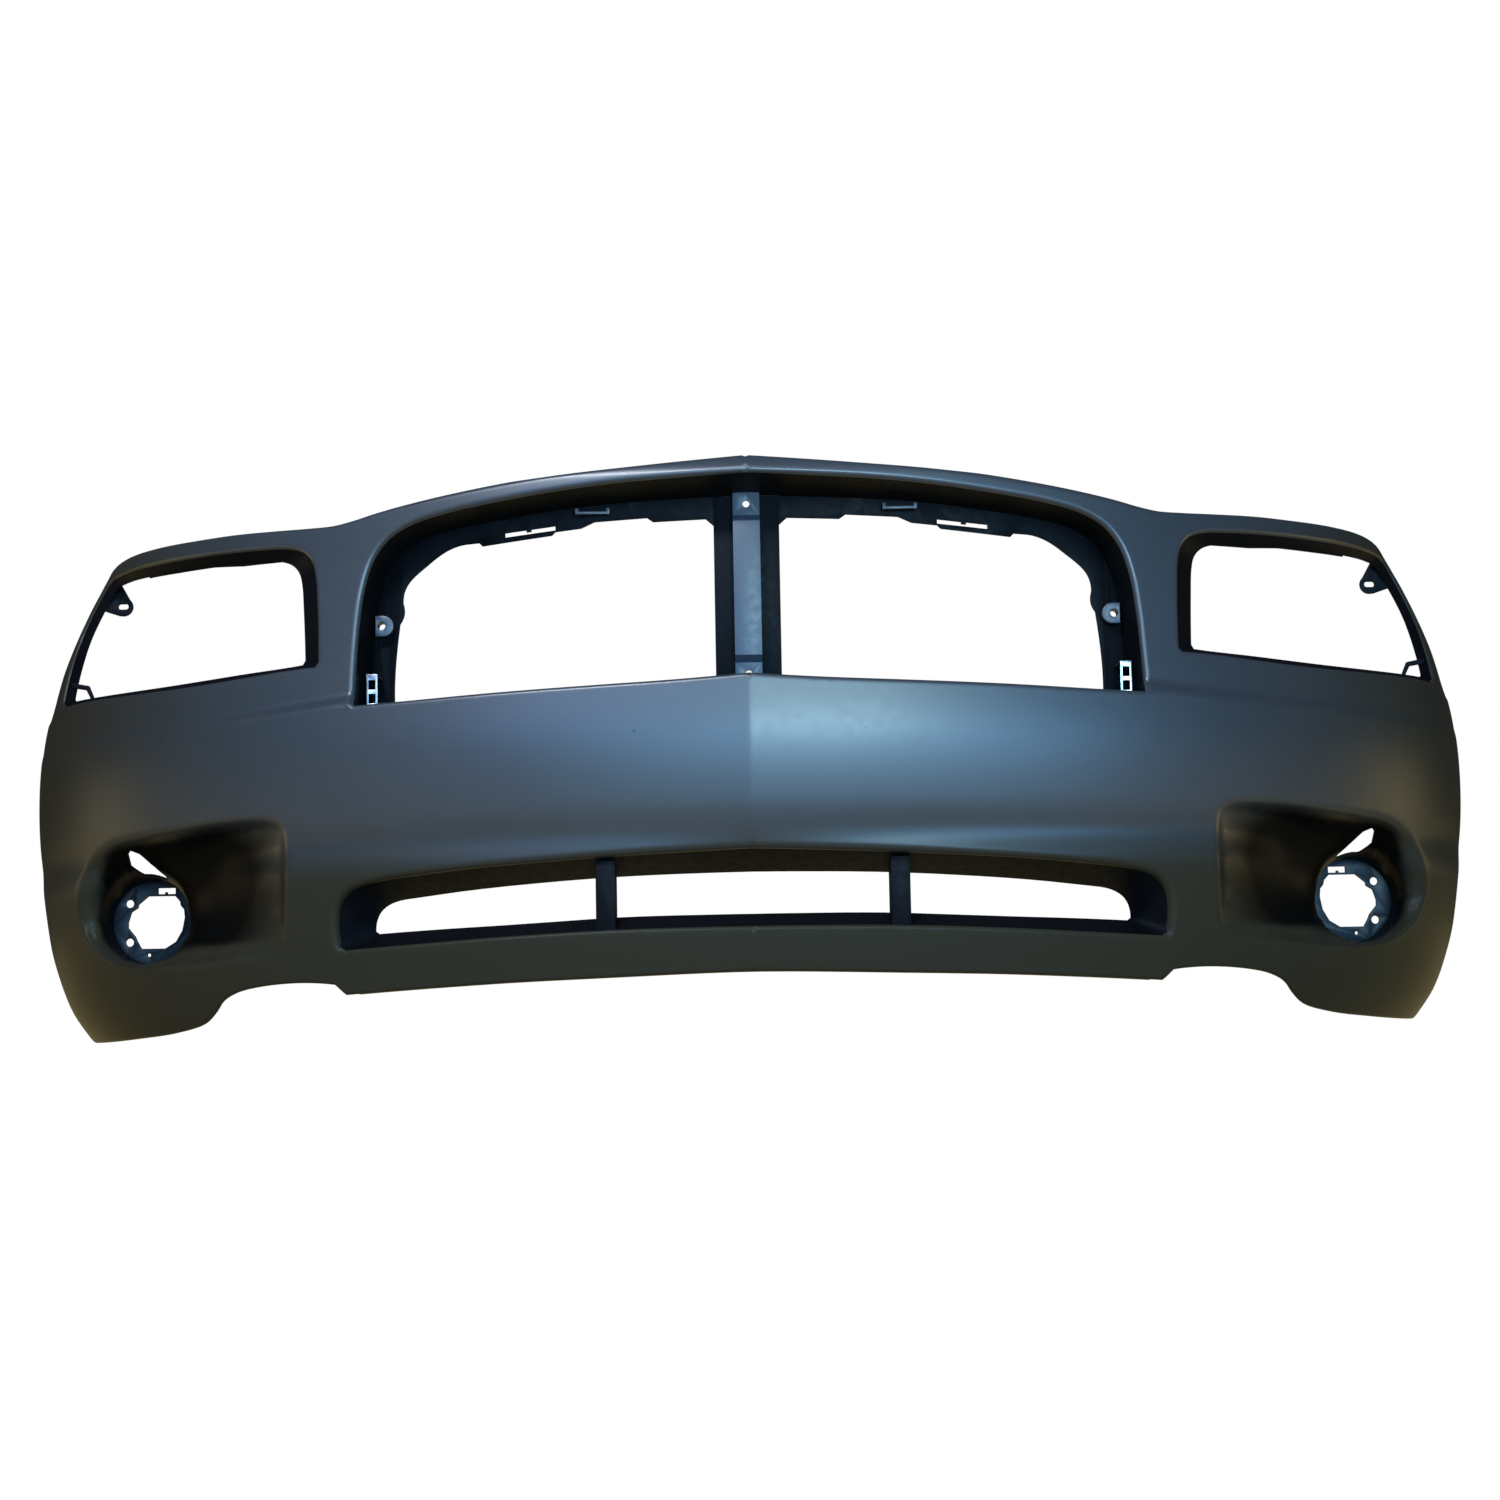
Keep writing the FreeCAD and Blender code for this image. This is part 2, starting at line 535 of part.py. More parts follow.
def corner_tab():
    """The ear with an oblong slot behind the headlamp's upper outer corner."""
    x, z, y = 789.0, 553.0, headlamp_back_y(803) + 0.6
    tab = tube(x, y, z, 12, 4, ALONG_Y).fuse(polygon_prism([(x - 8, z + 9), (x + 4, z - 12), (x + 34, z - 2),
                                                            (x + 20, z + 26), (x + 2, z + 27)], y, y + 4))
    slot = tube(x - 3, y - 5, z, 3.5, 20, ALONG_Y).fuse(tube(x + 3, y - 5, z, 3.5, 20, ALONG_Y))
    slot = slot.fuse(box(x - 3, x + 3, y - 5, y + 15, z - 3.5, z + 3.5))
    leg = box(x + 14, x + 30, y - 60, y + 4, z + 8, z + 11)
    return biggest(tab.fuse(leg.cut(front_of_headlamp_back())).cut(slot).cut(headlamp_surround()))


def front_of_headlamp_back():
    """The space in front of the headlamp return's back edge."""
    xs = [700 + 12 * i for i in range(14)]
    line = [Vector(x, headlamp_back_y(x) + 0.6, 300) for x in xs]
    corners = [line[-1], Vector(xs[-1], -100, 300), Vector(xs[0], -100, 300), line[0]]
    sides = [Part.makeLine(a, b) for a, b in zip(corners, corners[1:])]
    return Part.Face(Part.Wire([edge(line)] + sides)).extrude(Vector(0, 0, 400))


def side_hook():
    """The small hook at the headlamp's lower outer corner."""
    x, z = 838.0, 446.0
    y = outer_y(846, 440) + HEADLAMP_DEPTH + 0.4
    hook = polygon_prism([(x - 16, z - 12), (x - 12, z - 12), (x - 6, z), (x + 12, z + 3), (x + 12, z + 9),
                          (x - 9, z + 5)], y, y + 8)
    return biggest(hook.cut(headlamp_surround()))


def intake_surround():
    return surround(both_halves(INTAKE_MOUTH), both_halves(INTAKE_BACK), INTAKE_DEPTH)


def intake_flange():
    """The flange round the back of the intake, which the ribs cross."""
    outline = offset_outline(both_halves(INTAKE_BACK), -12)
    hole = both_halves(INTAKE_BACK)
    plate = front_prism(outline, 0, 500).cut(front_prism(hole, 0, 500)).common(
        sheet(INTAKE_DEPTH + GAP, INTAKE_DEPTH + BRACKET))
    quarters = [plate.common(box(x0, x1, 0, 500, z0, z1)) for x0, x1 in ((-600, 0), (0, 600))
                for z0, z1 in ((0, 148), (148, 400))]
    return Part.makeCompound([s for q in quarters for s in q.Solids])


def intake_rib():
    """A vertical rib across the intake, from its sill to its roof."""
    back = plan_curve(RIB_X) + INTAKE_DEPTH - 1.5
    front = back - RIB_LEN
    profile = []
    for mouth_z, back_z, clear in ((117.1, 134.0, 0.4), (199.2, 179.6, -0.4)):
        mouth_y = inner_y(RIB_X, mouth_z, WALL + GAP)
        rise = (back_z - mouth_z) / (back + 1.5 - mouth_y)
        line = [Vector(RIB_X - RIB_W / 2, y, mouth_z + rise * (y - mouth_y) + clear) for y in (front, back)]
        profile += line if not profile else line[::-1]
    rib = Part.Face(Part.makePolygon(profile + profile[:1])).extrude(Vector(RIB_W, 0, 0))
    return rib.cut(intake_surround())


# Lamp hole in its seat, (x, z) from the lamp's centre: flat at the top and foot, cut back beside the screws.
LAMP_HOLE = [(-24, 33), (9, 33), (21.5, 22.5), (22, 18.5), (30, 13.5), (34, 1), (34, -6), (25, -17), (23, -22),
             (17.5, -32), (-12, -32), (-25, -24), (-33, -10), (-36, 6), (-35, 16), (-31, 21), (-30, 26)]


def fog_ring():
    """The seat of the fog lamp: a disc with the lamp's many-sided hole, a lug slot and two screw holes."""
    disc = tube(FOG_X, FOG_Y + GAP, FOG_Z, FOG_RING_R + WALL, FOG_RING_T, ALONG_Y)
    disc = disc.cut(polygon_prism([(FOG_X + dx, FOG_Z + dz) for dx, dz in LAMP_HOLE], FOG_Y - 5, FOG_Y + 15))
    lug_slot = [(-24.5, 35.5), (-14.5, 35.5), (-14.5, 38), (-11.5, 38), (-11.5, 35.5), (-3, 35.5), (-3, 43),
                (-24.5, 43)]
    disc = disc.cut(polygon_prism([(FOG_X + dx, FOG_Z + dz) for dx, dz in lug_slot], FOG_Y - 5, FOG_Y + 15))
    disc = disc.cut(tube(FOG_X + 8, FOG_Y - 5, FOG_Z - 40, 2.2, 20, ALONG_Y))
    for dx, dz in FOG_SCREWS:
        disc = disc.cut(tube(FOG_X + dx, FOG_Y - 5, FOG_Z + dz, FOG_SCREW_R, 20, ALONG_Y))
    return disc


def side_point(y, z, depth):
    """A point of the wing at a depth inside its outer face, found from how far back it is."""
    low, high = 300.0, HALF_WIDTH
    for _ in range(50):
        mid = (low + high) / 2
        if outer(mid, z).y < y:
            low = mid
        else:
            high = mid
    p = outer(low, z)
    a, b = outer(low - 2, z), outer(min(HALF_WIDTH, low + 0.5), z)
    run = math.hypot(b.x - a.x, b.y - a.y)
    return Vector(p.x - depth * (b.y - a.y) / run, p.y + depth * (b.x - a.x) / run, z)


def wing_top(y):
    return WING_TOP_Z - 14 * (y - 446) / (WING_END_Y - 446)


def fender_flange():
    """The flange folded inward along the wing's top edge, where it bolts under the fender."""
    ys = [462 + 20 * i for i in range(9)]
    rows = []
    for depth, drop in ((WALL + 0.3, 1), (LEDGE, 1), (LEDGE, 1 + BRACKET), (WALL + 0.3, 1 + BRACKET)):
        rows.append([[side_point(y, wing_top(y), depth) - Vector(0, 0, drop) for y in ys]])
    flange = ring(rows, is_open=True)
    for y in FENDER_HOLES_Y:
        x = side_point(y, wing_top(y), LEDGE * 0.58).x
        flange = flange.cut(tube(x, y, 300, FENDER_HOLE_R, 200, ALONG_Z))
    return flange


def arch_point(angle, radius):
    return (ARCH_CENTRE_Y + radius * math.cos(math.radians(angle)),
            ARCH_CENTRE_Z + radius * math.sin(math.radians(angle)))


def arch_flange():
    """The flange folded inward round the wheel arch."""
    angles = [148 + 7.4 * i for i in range(8)]
    rows = []
    for depth, radius in ((WALL + 0.5, ARCH_R), (LEDGE, ARCH_R), (LEDGE, ARCH_R + BRACKET),
                          (WALL + 0.5, ARCH_R + BRACKET)):
        line = []
        for angle in angles:
            y, z = arch_point(angle, radius)
            line.append(side_point(y, z, depth))
        rows.append([line])
    flange = ring(rows, is_open=True)
    for angle in ARCH_HOLES:
        y, z = arch_point(angle, ARCH_R - 20)
        x = side_point(y, z, LEDGE * 0.62).x
        reach = Vector(0, math.cos(math.radians(angle)), math.sin(math.radians(angle)))
        flange = flange.cut(tube(x, y, z, ARCH_HOLE_R, 40, reach))
    return flange


def lower_flange():
    """The flange under the chin, folded back from the lower lip."""
    xs = [0, 66, 168, 271, 341, 411, 455]
    zs = [68, 67, 64, 61, 58, 54.5, 52]
    rows = []
    for depth, rise in ((WALL + 0.3, 1), (LEDGE + 8, 1), (LEDGE + 8, 1 + BRACKET), (WALL + 0.3, 1 + BRACKET)):
        right = [Vector(x, inner_y(x, z + rise, WALL) + depth - WALL, z + rise) for x, z in zip(xs, zs)]
        rows.append([[Vector(-p.x, p.y, p.z) for p in reversed(right[1:])] + right])
    flange = ring(rows, is_open=True)
    for x in LOWER_HOLES_X:
        for side in (-1, 1):
            flange = flange.cut(tube(side * x, outer_y(x, 62) + 24, 0, LOWER_HOLE_R, 150, ALONG_Z))
    return flange


def upper_tab():
    """The tab behind the top edge that screws down on the front panel."""
    top = ORIGIN.z
    half = 26.0
    plate = box(UPPER_HOLE_X - half, UPPER_HOLE_X + half, 30, ORIGIN.y + 16, top - BRACKET, top)
    xs = [UPPER_HOLE_X - half - 4 + 8.5 * i for i in range(8)]
    line = [Vector(x, inner_y(x, top - 2, WALL + 0.2), top - 40) for x in xs]
    corners = [line[-1], Vector(xs[-1], 300, top - 40), Vector(xs[0], 300, top - 40), line[0]]
    sides = [Part.makeLine(a, b) for a, b in zip(corners, corners[1:])]
    inside = Part.Face(Part.Wire([edge(line)] + sides)).extrude(Vector(0, 0, 60))
    plate = plate.common(inside)
    for side in (-1, 1):
        x = UPPER_HOLE_X + side * (half - BRACKET / 2)
        gusset = [Vector(x - BRACKET / 2, y, z) for y, z in ((40, top - BRACKET), (90, top - BRACKET),
                                                             (72, top - 8))]
        plate = plate.fuse(Part.Face(Part.makePolygon(gusset + gusset[:1])).extrude(Vector(BRACKET, 0, 0)))
    plate = plate.cut(grille_block())
    return plate.cut(tube(UPPER_HOLE_X, ORIGIN.y, 0, UPPER_HOLE_R, 900, ALONG_Z)).removeSplitter()


def grille_block():
    """The space the grille surround fills, so that the pieces above it stay clear."""
    return front_prism(offset_outline(both_halves(GRILLE_MOUTH), -BRACKET - 0.5), 0, 400).common(
        box(-600, 600, 0, 400, 300, 636))


def heat_stakes():
    """The melted stake heads that hold the clips to the grille flange, one solid each, on the right side."""
    heads = []
    for x, z in ((178, 603), (422, 386), (424, 452)):
        y = plan_curve(x) + GRILLE_DEPTH + BRACKET
        heads.append(tube(x, y - 2, z, 3.4, 5, ALONG_Y).cut(
            sheet(GRILLE_DEPTH - 40, GRILLE_DEPTH + BRACKET)).cut(behind(GRILLE_DEPTH + BRACKET + 2.5)))
    return heads


def write(name, shape):
    shape = shape.copy()
    shape.translate(ORIGIN * -1)
    shape.exportStep("parts/" + name + ".step")


def main():
    os.makedirs("parts", exist_ok=True)
    write("fascia_skin", Part.makeCompound(skin_panels()))
    write("grille_surround", grille_surround())
    write("grille_centre_post", centre_post())
    write("intake_surround", intake_surround())
    write("intake_flange", intake_flange())
    write("lower_flange", lower_flange())
    pairs = {"fog_lamp_scoop": fog_scoop(), "grille_flange": grille_flange(), "grille_ear": grille_ear(),
             "grille_side_clip": side_clip(), "grille_top_clip": top_clip(),
             "headlamp_surround": headlamp_surround(),
             "headlamp_bracket": headlamp_bracket(), "headlamp_corner_tab": corner_tab(),
             "headlamp_side_hook": side_hook(), "intake_rib": intake_rib(), "fog_lamp_ring": fog_ring(),
             "fender_flange": fender_flange(), "arch_flange": arch_flange(), "upper_tab": upper_tab()}
    for name, shape in pairs.items():
        write(name + "_left", shape)
        write(name + "_right", mirrored(shape))
    stakes = heat_stakes()
    write("heat_stakes", Part.makeCompound(stakes + [mirrored(s) for s in stakes]))


if __name__ == "__main__":
    main()
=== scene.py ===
"""Front bumper cover: primed skin with rolled edges, deep returns, brackets and retainers."""
import bpy
import bmesh
import json
import math
import numpy as np
from mathutils import Matrix, Vector
from mathutils.geometry import delaunay_2d_cdt

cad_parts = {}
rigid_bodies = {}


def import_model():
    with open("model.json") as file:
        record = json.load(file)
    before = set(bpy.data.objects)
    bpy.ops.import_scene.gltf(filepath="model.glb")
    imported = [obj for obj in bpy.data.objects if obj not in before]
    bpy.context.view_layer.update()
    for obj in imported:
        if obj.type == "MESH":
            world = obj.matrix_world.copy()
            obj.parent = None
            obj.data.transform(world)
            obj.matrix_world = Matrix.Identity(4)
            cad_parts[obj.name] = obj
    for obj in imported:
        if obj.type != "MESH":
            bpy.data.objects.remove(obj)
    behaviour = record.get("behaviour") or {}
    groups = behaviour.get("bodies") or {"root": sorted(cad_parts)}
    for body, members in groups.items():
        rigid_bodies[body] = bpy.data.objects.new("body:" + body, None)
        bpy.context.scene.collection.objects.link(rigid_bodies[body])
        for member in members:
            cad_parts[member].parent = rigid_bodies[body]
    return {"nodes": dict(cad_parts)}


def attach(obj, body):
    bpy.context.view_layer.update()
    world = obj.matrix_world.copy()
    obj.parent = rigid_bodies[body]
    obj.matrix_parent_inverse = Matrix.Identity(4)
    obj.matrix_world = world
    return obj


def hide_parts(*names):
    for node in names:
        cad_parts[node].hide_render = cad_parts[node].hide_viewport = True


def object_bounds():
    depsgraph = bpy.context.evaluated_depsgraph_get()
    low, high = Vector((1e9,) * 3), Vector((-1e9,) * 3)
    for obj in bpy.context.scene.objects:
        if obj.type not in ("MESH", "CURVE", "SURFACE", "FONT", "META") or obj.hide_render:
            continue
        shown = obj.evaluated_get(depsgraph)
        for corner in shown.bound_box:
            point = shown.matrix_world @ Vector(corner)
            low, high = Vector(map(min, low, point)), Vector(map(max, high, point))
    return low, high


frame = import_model()
cad_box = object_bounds()
MM = 0.001

# ------------------------------------------ the cover's form, millimetres in the nose frame
HALF_WIDTH, PLAN_DEPTH, PLAN_N, PLAN_M = 930.0, 640.0, 2.2, 2.4
PROW_DEPTH, PROW_RUN, PROW_FROM_Z, PROW_RISE = 12.0, 200.0, 190.0, 40.0
SHOULDER_STEP, SHOULDER_RISE = 12.0, 16.0
SHOULDER_FADE, SHOULDER_FADE_X, SHOULDER_FADE_RUN = 0.6, 700.0, 200.0
TAB_LIFT = np.array([0.0, 92.0, 644.0])  # the row origin, at the upper fixing holes
SKIN_WALL, RETURN_WALL = 2.6, 2.4
ARCH_Y, ARCH_Z, ARCH_R = 955.0, 160.0, 388.0
WING_END_Y, WING_TOP_Z = 640.0, 400.0
FOOT_Z, FOOT_ROUND_Z = 3.0, 34.0        # the foot's lowest point, and the top of its round corner
FOG_X, FOG_Z, FOG_Y, FOG_SEAT_R = 742.0, 151.5, 385.0, 52.0
GRILLE_DEPTH, HEADLAMP_DEPTH, INTAKE_DEPTH = 100.0, 24.0, 85.0


def hermite(a, b, slope_a, slope_b, u):
    """The cubic from a to b with a slope at each end, at a share u of the way."""
    return (a * (1 + 2 * u) * (1 - u) ** 2 + b * u * u * (3 - 2 * u)
            + slope_a * u * (1 - u) ** 2 - slope_b * u * u * (1 - u))


class Line:
    """A smooth line through a few stations: cubic between them, straight beyond the ends."""

    def __init__(self, *stations):
        self.at = np.array([s[0] for s in stations], float)
        self.value = np.array([s[1] for s in stations], float)
        last = len(stations) - 1
        after = [min(i + 1, last) for i in range(last + 1)]
        before = [max(i - 1, 0) for i in range(last + 1)]
        self.slope = (self.value[after] - self.value[before]) / (self.at[after] - self.at[before])

    def __call__(self, t):
        t = np.asarray(t, float)
        i = np.clip(np.searchsorted(self.at, t, side="right") - 1, 0, len(self.at) - 2)
        h = self.at[i + 1] - self.at[i]
        u = (t - self.at[i]) / h
        inside = hermite(self.value[i], self.value[i + 1], h * self.slope[i],
                         h * self.slope[i + 1], u)
        low = self.value[0] + self.slope[0] * (t - self.at[0])
        high = self.value[-1] + self.slope[-1] * (t - self.at[-1])
        return np.where(t <= self.at[0], low, np.where(t >= self.at[-1], high, inside))


# By height: the share of the full width, and the depth on the centre plane.
tuck = Line((-12, .905), (0, .925), (20, .943), (45, .960), (80, .974), (130, .987), (226, .998),
            (300, 1.0), (380, .995), (430, .985), (480, .970), (545, .940), (605, .905),
            (690, .860))
side_view = Line((-12, 64), (0, 58), (51, 48), (118, 34), (205, 22), (260, 8), (330, 0),
                 (400, 3), (460, 8), (540, 11), (634, 11), (652, 22), (690, 70))
# By half-width: the height at which the face steps back under the lamps.
shoulder_z = Line((0, 402), (84, 396.5), (168, 393), (281, 388.5), (396, 383), (455, 381),
                  (578, 370), (711, 364), (800, 361), (930, 360))


def ramp(t):
    """A soft step from 0 to 1 as t goes from 0 to 1."""
    t = np.clip(t, 0.0, 1.0)
    return t * t * (3 - 2 * t)


def plan_curve(x):
    """Depth of the cover's outline seen from above, at a half-width."""
    share = np.minimum(1.0, np.abs(x) / HALF_WIDTH)
    return PLAN_DEPTH * (1 - (1 - share ** PLAN_N) ** (1 / PLAN_M))


def depth_of(x, z):
    """Depth of the outer face from the reference half-width and the height."""
    prow = (PROW_DEPTH * ramp((z - PROW_FROM_Z) / PROW_RISE)
            * (1 - np.exp(-np.abs(x) / PROW_RUN)))
    fade = 1 - SHOULDER_FADE * ramp((x - SHOULDER_FADE_X) / SHOULDER_FADE_RUN)
    step = SHOULDER_STEP * ramp((z - shoulder_z(x)) / SHOULDER_RISE) * fade
    return plan_curve(x) + prow + side_view(z) + step


def face_y(x, z):
    """Depth of the outer face at a true half-width and height."""
    x, z = np.asarray(x, float), np.asarray(z, float)
    return depth_of(np.abs(x) / tuck(z), z)


# Distance run along the plan curve, so that the sides are meshed as finely as the front.
RUN_X = HALF_WIDTH * np.sin(np.pi / 2 * np.linspace(0, 1, 6001)) ** (2 / PLAN_N)
RUN_T = np.concatenate([[0], np.cumsum(np.hypot(np.diff(RUN_X), np.diff(plan_curve(RUN_X))))])


def sheet_point(t, z):
    """The outer face at a run along the plan curve and a height."""
    x = np.interp(t, RUN_T, RUN_X)
    return np.stack([x * tuck(z), depth_of(x, z), z + 0 * x], axis=-1)


def sheet_normal(t, z):
    """The outward normal of the outer face, by small steps either way."""
    h = 0.6
    along = sheet_point(t + h, z) - sheet_point(np.maximum(t - h, -h), z)
    up = sheet_point(t, z + h) - sheet_point(t, z - h)
    n = np.cross(along, up)
    return n / np.linalg.norm(n, axis=-1, keepdims=True)


def front_to_run(points):
    """Front-view (x, z) points as (run, z)."""
    p = np.asarray(points, float)
    return np.stack([np.interp(p[:, 0] / tuck(p[:, 1]), RUN_X, RUN_T), p[:, 1]], axis=-1)


def side_to_run(points):
    """Side-view (y, z) points as (run, z)."""
    return np.array([(np.interp(y, depth_of(RUN_X, np.full_like(RUN_X, z)), RUN_T), z)
                     for y, z in points])


def share_out(line, step=None, count=None):
    """Points evenly along a line, at about a step or of a given number."""
    run = np.concatenate([[0], np.cumsum(np.linalg.norm(np.diff(line, axis=0), axis=1))])
    if count is None:
        count = max(2, int(round(run[-1] / step)) + 1)
    want = np.linspace(0, run[-1], count)
    return np.stack([np.interp(want, run, line[:, k]) for k in range(2)], axis=-1)


def smooth(points, step=4.0):
    """A flowing line through points, at an even step; two points give a straight one."""
    p = np.asarray(points, float)
    if len(p) > 2:
        legs = np.linalg.norm(np.diff(p, axis=0), axis=1)
        run = np.concatenate([[0], np.cumsum(np.sqrt(legs))])
        slope = np.gradient(p, run, axis=0, edge_order=2)
        fine = []
        for i in range(len(p) - 1):
            h = run[i + 1] - run[i]
            u = np.linspace(0, 1, 24, endpoint=False)[:, None]
            fine.append(hermite(p[i], p[i + 1], h * slope[i], h * slope[i + 1], u))
        p = np.concatenate(fine + [p[-1:]])
    return share_out(p, step=step)


def join(pieces):
    """Lines end to end as one, without the doubled points between them."""
    return np.concatenate([pieces[0]] + [p[1:] for p in pieces[1:]])


# Front-view outlines of the left half, (x, z): the lines of a loop join end to end.
TOP_EDGE = [(0, 660), (70, 654), (137, 648), (206, 642), (276, 634), (347, 624), (395, 616),
            (431, 609), (457, 603), (482, 599), (510, 599), (555, 601), (610, 604), (666, 606),
            (728, 609), (790, 611), (830, 608)]
LOWER_EDGE = [[(0, 68), (66, 67), (168, 64), (271, 61), (341, 58), (411, 54.5), (469, 51)],
              [(469, 51), (482, 63)],
              [(482, 63), (525, 66), (575, 63), (605, 57), (623, 48), (634, 35), (650, 22),
               (690, 12), (750, 6), (805, 3), (842, 3)]]
GRILLE_MOUTH = [[(0, 402), (84, 396.5), (168, 393), (281, 388.5), (396, 383), (452, 381)],
                [(452, 381), (455, 384)],
                [(455, 384), (453, 430), (450, 476), (444, 520), (433, 553), (415, 576),
                 (388, 591), (345, 602), (281, 612), (218, 620), (154, 626), (84, 630),
                 (0, 634)]]
GRILLE_BACK = [[(0, 392), (84, 388), (168, 385), (281, 381), (396, 378), (438, 377)],
               [(438, 377), (442, 380)],
               [(442, 380), (440, 430), (437, 476), (431, 517), (420, 547), (403, 569),
                (378, 583), (338, 593), (276, 602), (214, 610), (151, 615), (83, 618),
                (0, 621)]]
HEADLAMP_MOUTH = [[(503, 431), (541, 429), (591, 425), (643, 421.5), (697, 420), (780, 421),
                   (858, 424)],
                  [(858, 424), (863, 430)],
                  [(863, 430), (858, 470), (848, 518), (829, 560), (813, 584)],
                  [(813, 584), (805, 589)],
                  [(805, 589), (767, 587), (700, 584), (613, 581), (575, 579), (540, 576),
                   (520, 569), (509, 557), (504, 538), (501, 500), (499, 436)],
                  [(499, 436), (503, 431)]]
HEADLAMP_BACK = [[(520, 437), (541, 435), (591, 432), (643, 429), (697, 427), (776, 427),
                  (842, 430)],
                 [(842, 430), (846, 435)],
                 [(846, 435), (841, 470), (831, 514), (812, 551), (797, 572)],
                 [(797, 572), (788, 576)],
                 [(788, 576), (760, 575), (699, 573), (614, 570), (580, 568), (552, 565),
                  (536, 559), (527, 549), (523, 535), (520, 500), (517, 442)],
                 [(517, 442), (520, 437)]]
INTAKE_MOUTH = [[(0, 118.5), (60, 118.5), (168, 117), (282, 112.5), (398, 106), (468, 102)],
                [(468, 102), (474, 106)],
                [(474, 106), (477, 130), (474, 152), (461, 168), (427, 178), (374, 184),
                 (281, 192), (168, 199), (55, 203), (0, 204)]]
INTAKE_BACK = [[(0, 135), (50, 135), (150, 134), (262, 129), (368, 125), (432, 122)],
               [(432, 122), (436, 125)],
               [(436, 125), (435, 136), (430, 147), (416, 157), (390, 162), (345, 167),
                (262, 174), (155, 180), (50, 182.5), (0, 183)]]
FOG_MOUTH = [(539, 246), (550, 254), (590, 255), (645, 252), (704, 247), (758, 242), (788, 232),
             (812, 213), (826, 192), (829, 172), (824, 148), (809, 126), (784, 107), (750, 97),
             (700, 93), (640, 95), (590, 99), (552, 104), (541, 116), (539, 150), (538, 200)]
FOG_SLIT = [(712, 203), (722, 195), (736, 197), (755, 216), (754, 229), (748, 233), (738, 229)]
# Side-view lines, (y, z): the wing's top edge, and the strip behind the headlamp.
WING_TOP = [(640, 400), (446, 414)]
STRIP_EDGE = [(446, 414), (439, 426), (442, 450), (448, 490), (452, 540), (452, 608)]
# Rim of the round lamp seat, (x, z).
TURN = np.linspace(0, 2 * np.pi, 73)[:-1]
SEAT_RIM = np.stack([FOG_X + FOG_SEAT_R * np.cos(TURN), FOG_Z + FOG_SEAT_R * np.sin(TURN)],
                    axis=-1)

# How far each edge rolls back, line by line, and how far a return laps under the roll.
LOWER_ROLL, WING_ROLL, TOP_ROLL, RETURN_LAP = 4.0, 3.0, 7.0, 0.4
GRILLE_ROLLS, INTAKE_ROLLS = (5.0, 6.0, 6.0), (4.0, 5.0, 9.0)
LAMP_ROLLS = (5.0, 4.0, 4.0, 5.0, 5.0, 5.0)

# The sheet's points: grid steps, and rings at these turns of a roll or distances from a line.
GRID_STEP, SCOOP_STEP, BAND_STEP = 7.5, 4.2, 7.0
STEP_FROM_RUN = 460                     # outboard of here the shoulder step has its own rows
BAND_RISES = range(-4, 21, 3)           # how far above the shoulder line those rows lie
GRID_CLEAR, MOUTH_CLEAR, SEAT_CLEAR = 5.0, 5.0, 9.0  # the grid stays this far off lines
AFTER_ROLL, CENTRE_CLEAR, POINT_CELL = 2.5, 0.4, 1.1
ROLL_TURNS = (26, 45, 63, 78, 90)
MOUTH_RINGS, SEAT_RINGS = (2.0, 4.5, 8.0), (0.8, 1.8, 3.2, 5.0, 7.5, 11.0)

# The lamp scoop: where it counts as inboard, as upper and as off its floor, each a start and
# a run; how it sinks; how its edge eases; how fast painted shade darkens it as it sinks.
INBOARD_X, UPPER_Z, OFF_FLOOR_Z = (730, 110), (175, 60), (98, 24)
DROP_SHARE, DROP_POWER = 0.34, 9        # part of the depth that is a drop next to the seat
SINK_POWER, INBOARD_RELIEF, SETTLE_ROUNDS = 0.95, 0.42, 1500
EASE_REACH, GENTLE_REACH, EASE_PULL, EASE_ROUNDS = 4.0, 6.0, 0.6, 7
SCOOP_SHADE_STEEPNESS = 6.0


# ------------------------------------------ mesh helpers
def put_in_scene(name, data):
    """A new object at the origin that carries the data."""
    thing = bpy.data.objects.new(name, data)
    bpy.context.scene.collection.objects.link(thing)
    return thing


def mesh_of(name, verts, faces):
    """A mesh from nose-frame millimetres."""
    mesh = bpy.data.meshes.new(name)
    mesh.from_pydata(((np.asarray(verts) - TAB_LIFT) * MM).tolist(), [], faces)
    mesh.update()
    return mesh


def stand(piece, stands_for):
    """Ties a piece to the body and hides the frame node it stands for."""
    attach(piece, "root")
    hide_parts(stands_for)


def only(piece):
    """Selects one piece and nothing else."""
    bpy.ops.object.select_all(action="DESELECT")
    bpy.context.view_layer.objects.active = piece
    piece.select_set(True)


def finish_with(piece, kind, **settings):
    """Adds a modifier, sets it and applies it."""
    only(piece)
    mod = piece.modifiers.new(kind.title(), kind)
    for key, value in settings.items():
        setattr(mod, key, value)
    bpy.ops.object.modifier_apply(modifier=mod.name)


def thicken(piece, wall):
    """Gives a sheet its wall, inwards from the face it has."""
    finish_with(piece, "SOLIDIFY", thickness=wall * MM, offset=-1.0, use_even_offset=False)


def shade_smooth(piece, degrees):
    """Smooth shading that breaks at corners sharper than an angle."""
    only(piece)
    bpy.ops.object.shade_smooth_by_angle(angle=math.radians(degrees))


